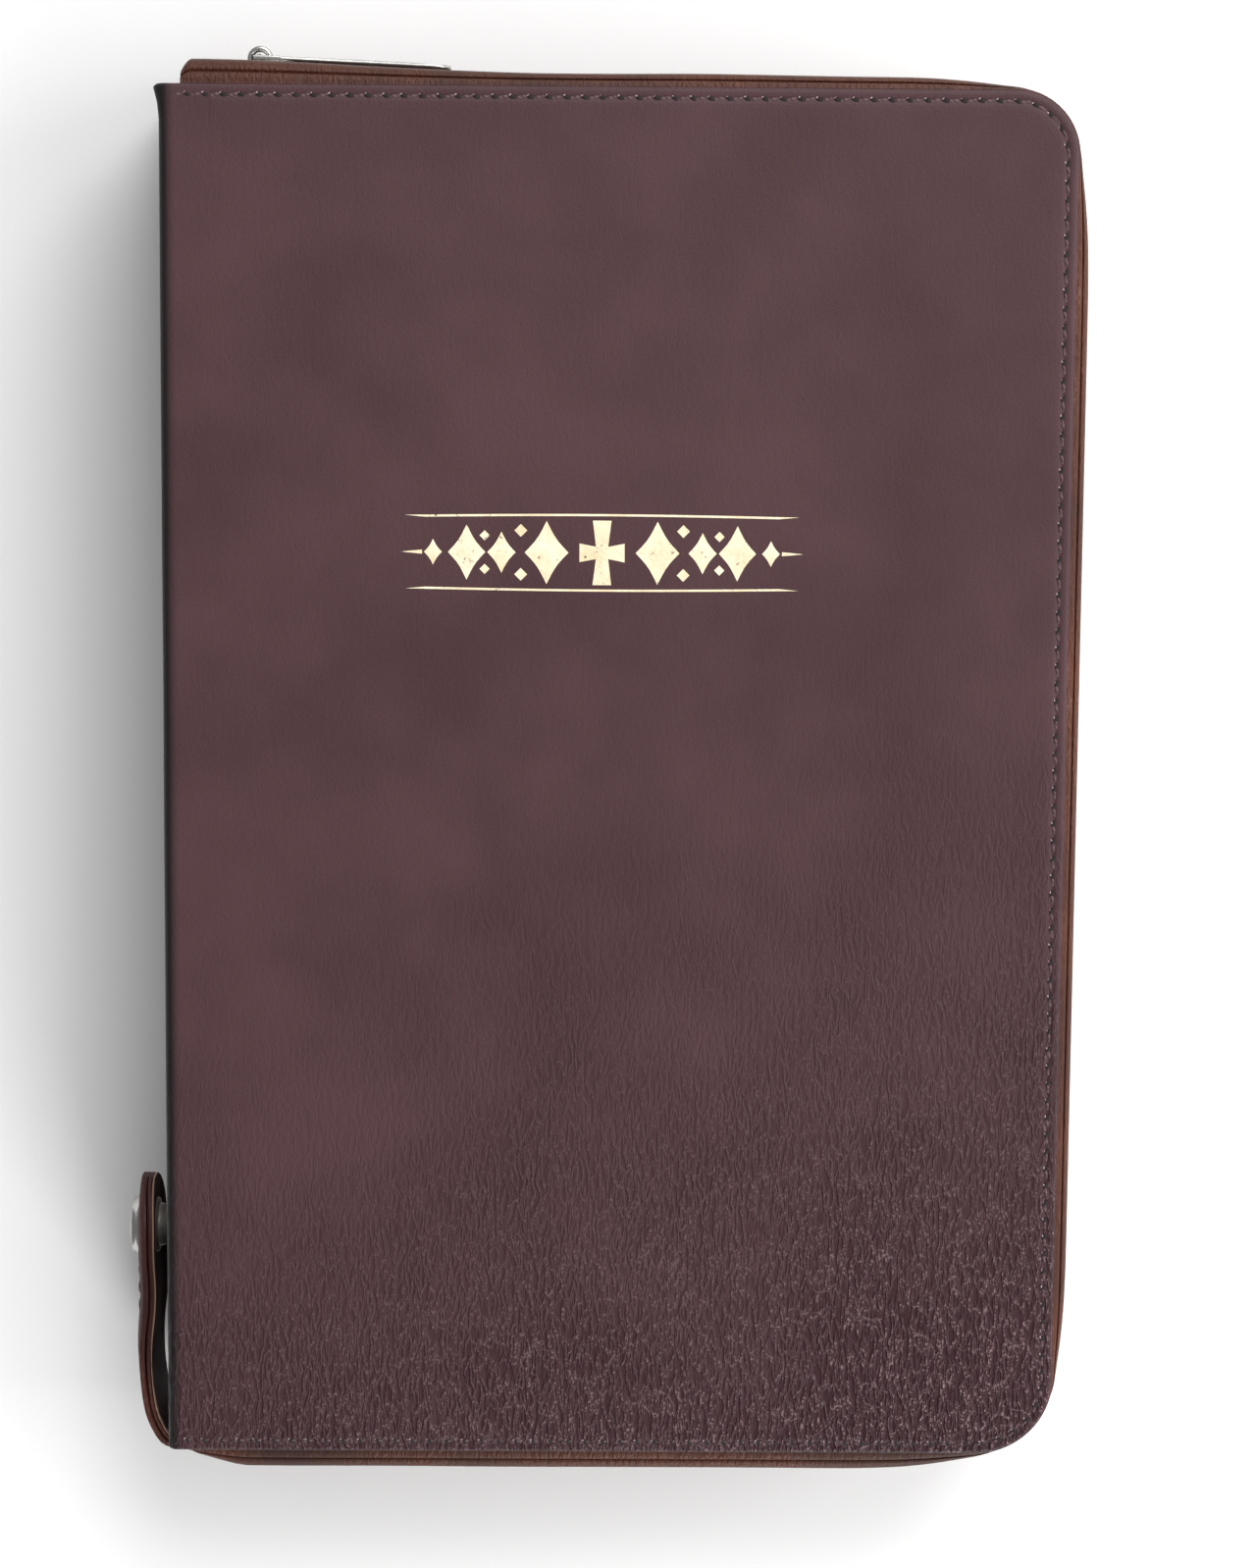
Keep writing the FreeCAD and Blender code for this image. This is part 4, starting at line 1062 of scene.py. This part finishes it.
def make_leaf(side):
    """One loose leaf: a thin flat sheet with a faint ripple."""
    node = f"leaf_{side}"
    low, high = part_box(node)
    z = (low.z + high.z) / 2
    count, rows = 46, 24
    points = []
    for j in range(rows + 1):
        y = low.y + (high.y - low.y) * j / rows
        for k in range(count + 1):
            x = low.x + (high.x - low.x) * (k / count) ** 1.35
            ripple = noise.noise((x * 18, y * 14, 9.0 if side == "back" else 2.0)) * 0.03 * MM
            points.append((x, y, z + ripple))
    leaf = new_piece(f"{side}_loose_leaf", points, quads(rows + 1, count + 1), smooth=True)
    solid = leaf.modifiers.new("Paper", "SOLIDIFY")
    solid.thickness = 0.06 * MM
    solid.offset = 0.0
    graph = bpy.context.evaluated_depsgraph_get()
    leaf.data = bpy.data.meshes.new_from_object(leaf.evaluated_get(graph))
    leaf.modifiers.clear()
    dress(leaf, "pages", paints["paper"], stands_for=[node])
    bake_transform(leaf)


def make_headbands(side):
    for end in ("headband", "tailband"):
        node = f"{side}_{end}"
        low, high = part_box(node)
        y, x = (low.y + high.y) / 2, (low.x + high.x) / 2
        sections = []
        for k in range(25):
            z = low.z + (high.z - low.z) * k / 24
            swell = 1 + 0.10 * math.sin(k * math.pi * 0.75)
            sections.append([(x + (high.x - low.x) / 2 * 0.95 * swell * c / 1.1,
                              y + (high.y - low.y) / 2 * 0.98 * swell * s / 1.1, z)
                             for c, s in circle(14)])
        band = loft(f"{node}_roll", sections)
        dress(band, "headband", paints["band"], body=f"{side}_pages", stands_for=[node])


def make_ribbon():
    low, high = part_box("ribbon_marker")
    z = low.z + 0.05 * MM
    sections = []
    count = 80
    for k in range(count + 1):
        y = high.y - (high.y - low.y) * k / count
        drift = 0.8 * MM * math.sin(k / count * 5.0)
        lift = 0.04 * MM * (1 + math.sin(k * 0.7))
        ring = [(low.x, z), (low.x, z + 0.1 * MM), (high.x, z + 0.1 * MM), (high.x, z)]
        cut = 2.0 * MM * max(0.0, 1 - (count - k) / 3)
        sections.append([(x + drift * 0.4, y + (cut if x > low.x + MM else 0.0), zz + lift)
                         for x, zz in ring])
    ribbon = loft("ribbon_band", sections)
    for polygon in ribbon.data.polygons:
        polygon.use_smooth = False
    dress(ribbon, "ribbon", paints["ribbon"], body="back_pages", stands_for=["ribbon_marker"])


# ---- gilt ornament -----------------------------------------------------------------------------

def foil_shape(outline, z, name):
    """A flat foil shape with a shallow wall, from one closed outline."""
    bm = bmesh.new()
    low = [bm.verts.new((x, y, z - 0.08 * MM)) for x, y in outline]
    high = [bm.verts.new((x, y, z)) for x, y in outline]
    bm.faces.new(high)
    bm.faces.new(low[::-1])
    for k in range(len(outline)):
        j = (k + 1) % len(outline)
        bm.faces.new((low[k], low[j], high[j], high[k]))
    bmesh.ops.recalc_face_normals(bm, faces=bm.faces)
    return finished(name, bm)


def make_ornament():
    """A plain gilt band of diamonds and a small cross between two tapering rules, drawn in mm."""
    centre_x, centre_y = -2.2 * MM, 36.3 * MM
    z = THICK + 0.03 * MM
    shapes = []

    def add(points):
        shapes.append(foil_shape([(centre_x + x * MM, centre_y + y * MM) for x, y in points], z,
                                 f"foil_{len(shapes)}"))

    def diamond(x, y, wide, tall, waist=0.12):
        corners = [(wide * c, tall * s) for c, s in circle(4)]
        curve = []
        for (ax, ay), (bx, by) in zip(corners, corners[1:] + corners[:1]):
            for t in (0.0, 0.2, 0.4, 0.6, 0.8):
                pull = 1 - waist * math.sin(math.pi * t)
                curve.append((x + pull * (ax * (1 - t) + bx * t), y + pull * (ay * (1 - t) + by * t)))
        add(curve)

    arm, foot, half, flare = 3.5, 5.0, 0.95, 1.45
    add([(-half, half), (-arm, flare), (-arm, -flare), (-half, -half), (-flare, -foot),
         (flare, -foot), (half, -half), (arm, -flare), (arm, flare), (half, half), (flare, foot),
         (-flare, foot)])
    for sign in (-1, 1):
        diamond(sign * 8.6, 0, 3.4, 4.9)
        diamond(sign * 15.6, 0, 2.2, 3.2)
        diamond(sign * 21.0, 0, 2.9, 4.3)
        diamond(sign * 26.2, 0, 1.4, 2.0)
        add([(sign * 27.9, 0.32), (sign * 31.2, 0.0), (sign * 27.9, -0.32)])
        for up in (-1, 1):
            diamond(sign * 12.6, up * 3.4, 1.0, 1.0, 0.0)
            diamond(sign * 18.2, up * 2.6, 0.8, 0.8, 0.0)
    for up in (-1, 1):
        line = [(-30.5 + 61.0 * k / 20, up * (5.7 + 0.32 * math.sin(math.pi * k / 20)))
                for k in range(21)]
        add(line + [(x, y - up * 0.34) for x, y in line[::-1][1:-1]])
    foil = join("gilt_ornament", *shapes)
    for polygon in foil.data.polygons:
        polygon.use_smooth = False
    dress(foil, None, paints["gilt"], body="front_cover")


# ---- pieces that keep their engineered shape ---------------------------------------------------

def paint_nodes():
    chosen = {"board": "board", "stiffener": "board", "lining": "lining", "tape": "tape",
              "flyleaf": "endpaper", "mull": "mull", "thread": "thread", "rivet": "nickel"}
    for name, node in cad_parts.items():
        for word, paint in chosen.items():
            if word in name and not node.hide_render:
                node.data.materials.clear()
                node.data.materials.append(paints[paint])


# ---- the whole book ----------------------------------------------------------------------------

add_camera()
add_studio()
paints = make_materials()
BEADS = bead_tree()
for half_name in SIDES:
    make_cover(half_name)
    make_gusset(half_name)
    make_end_tabs(half_name)
    make_teeth(half_name)
    make_pages(half_name)
    make_leaf(half_name)
    make_headbands(half_name)
make_spine()
make_spine_ends()
make_stops()
make_slider()
make_pull()
make_strap()
make_snap()
make_ribbon()
make_ornament()
paint_nodes()
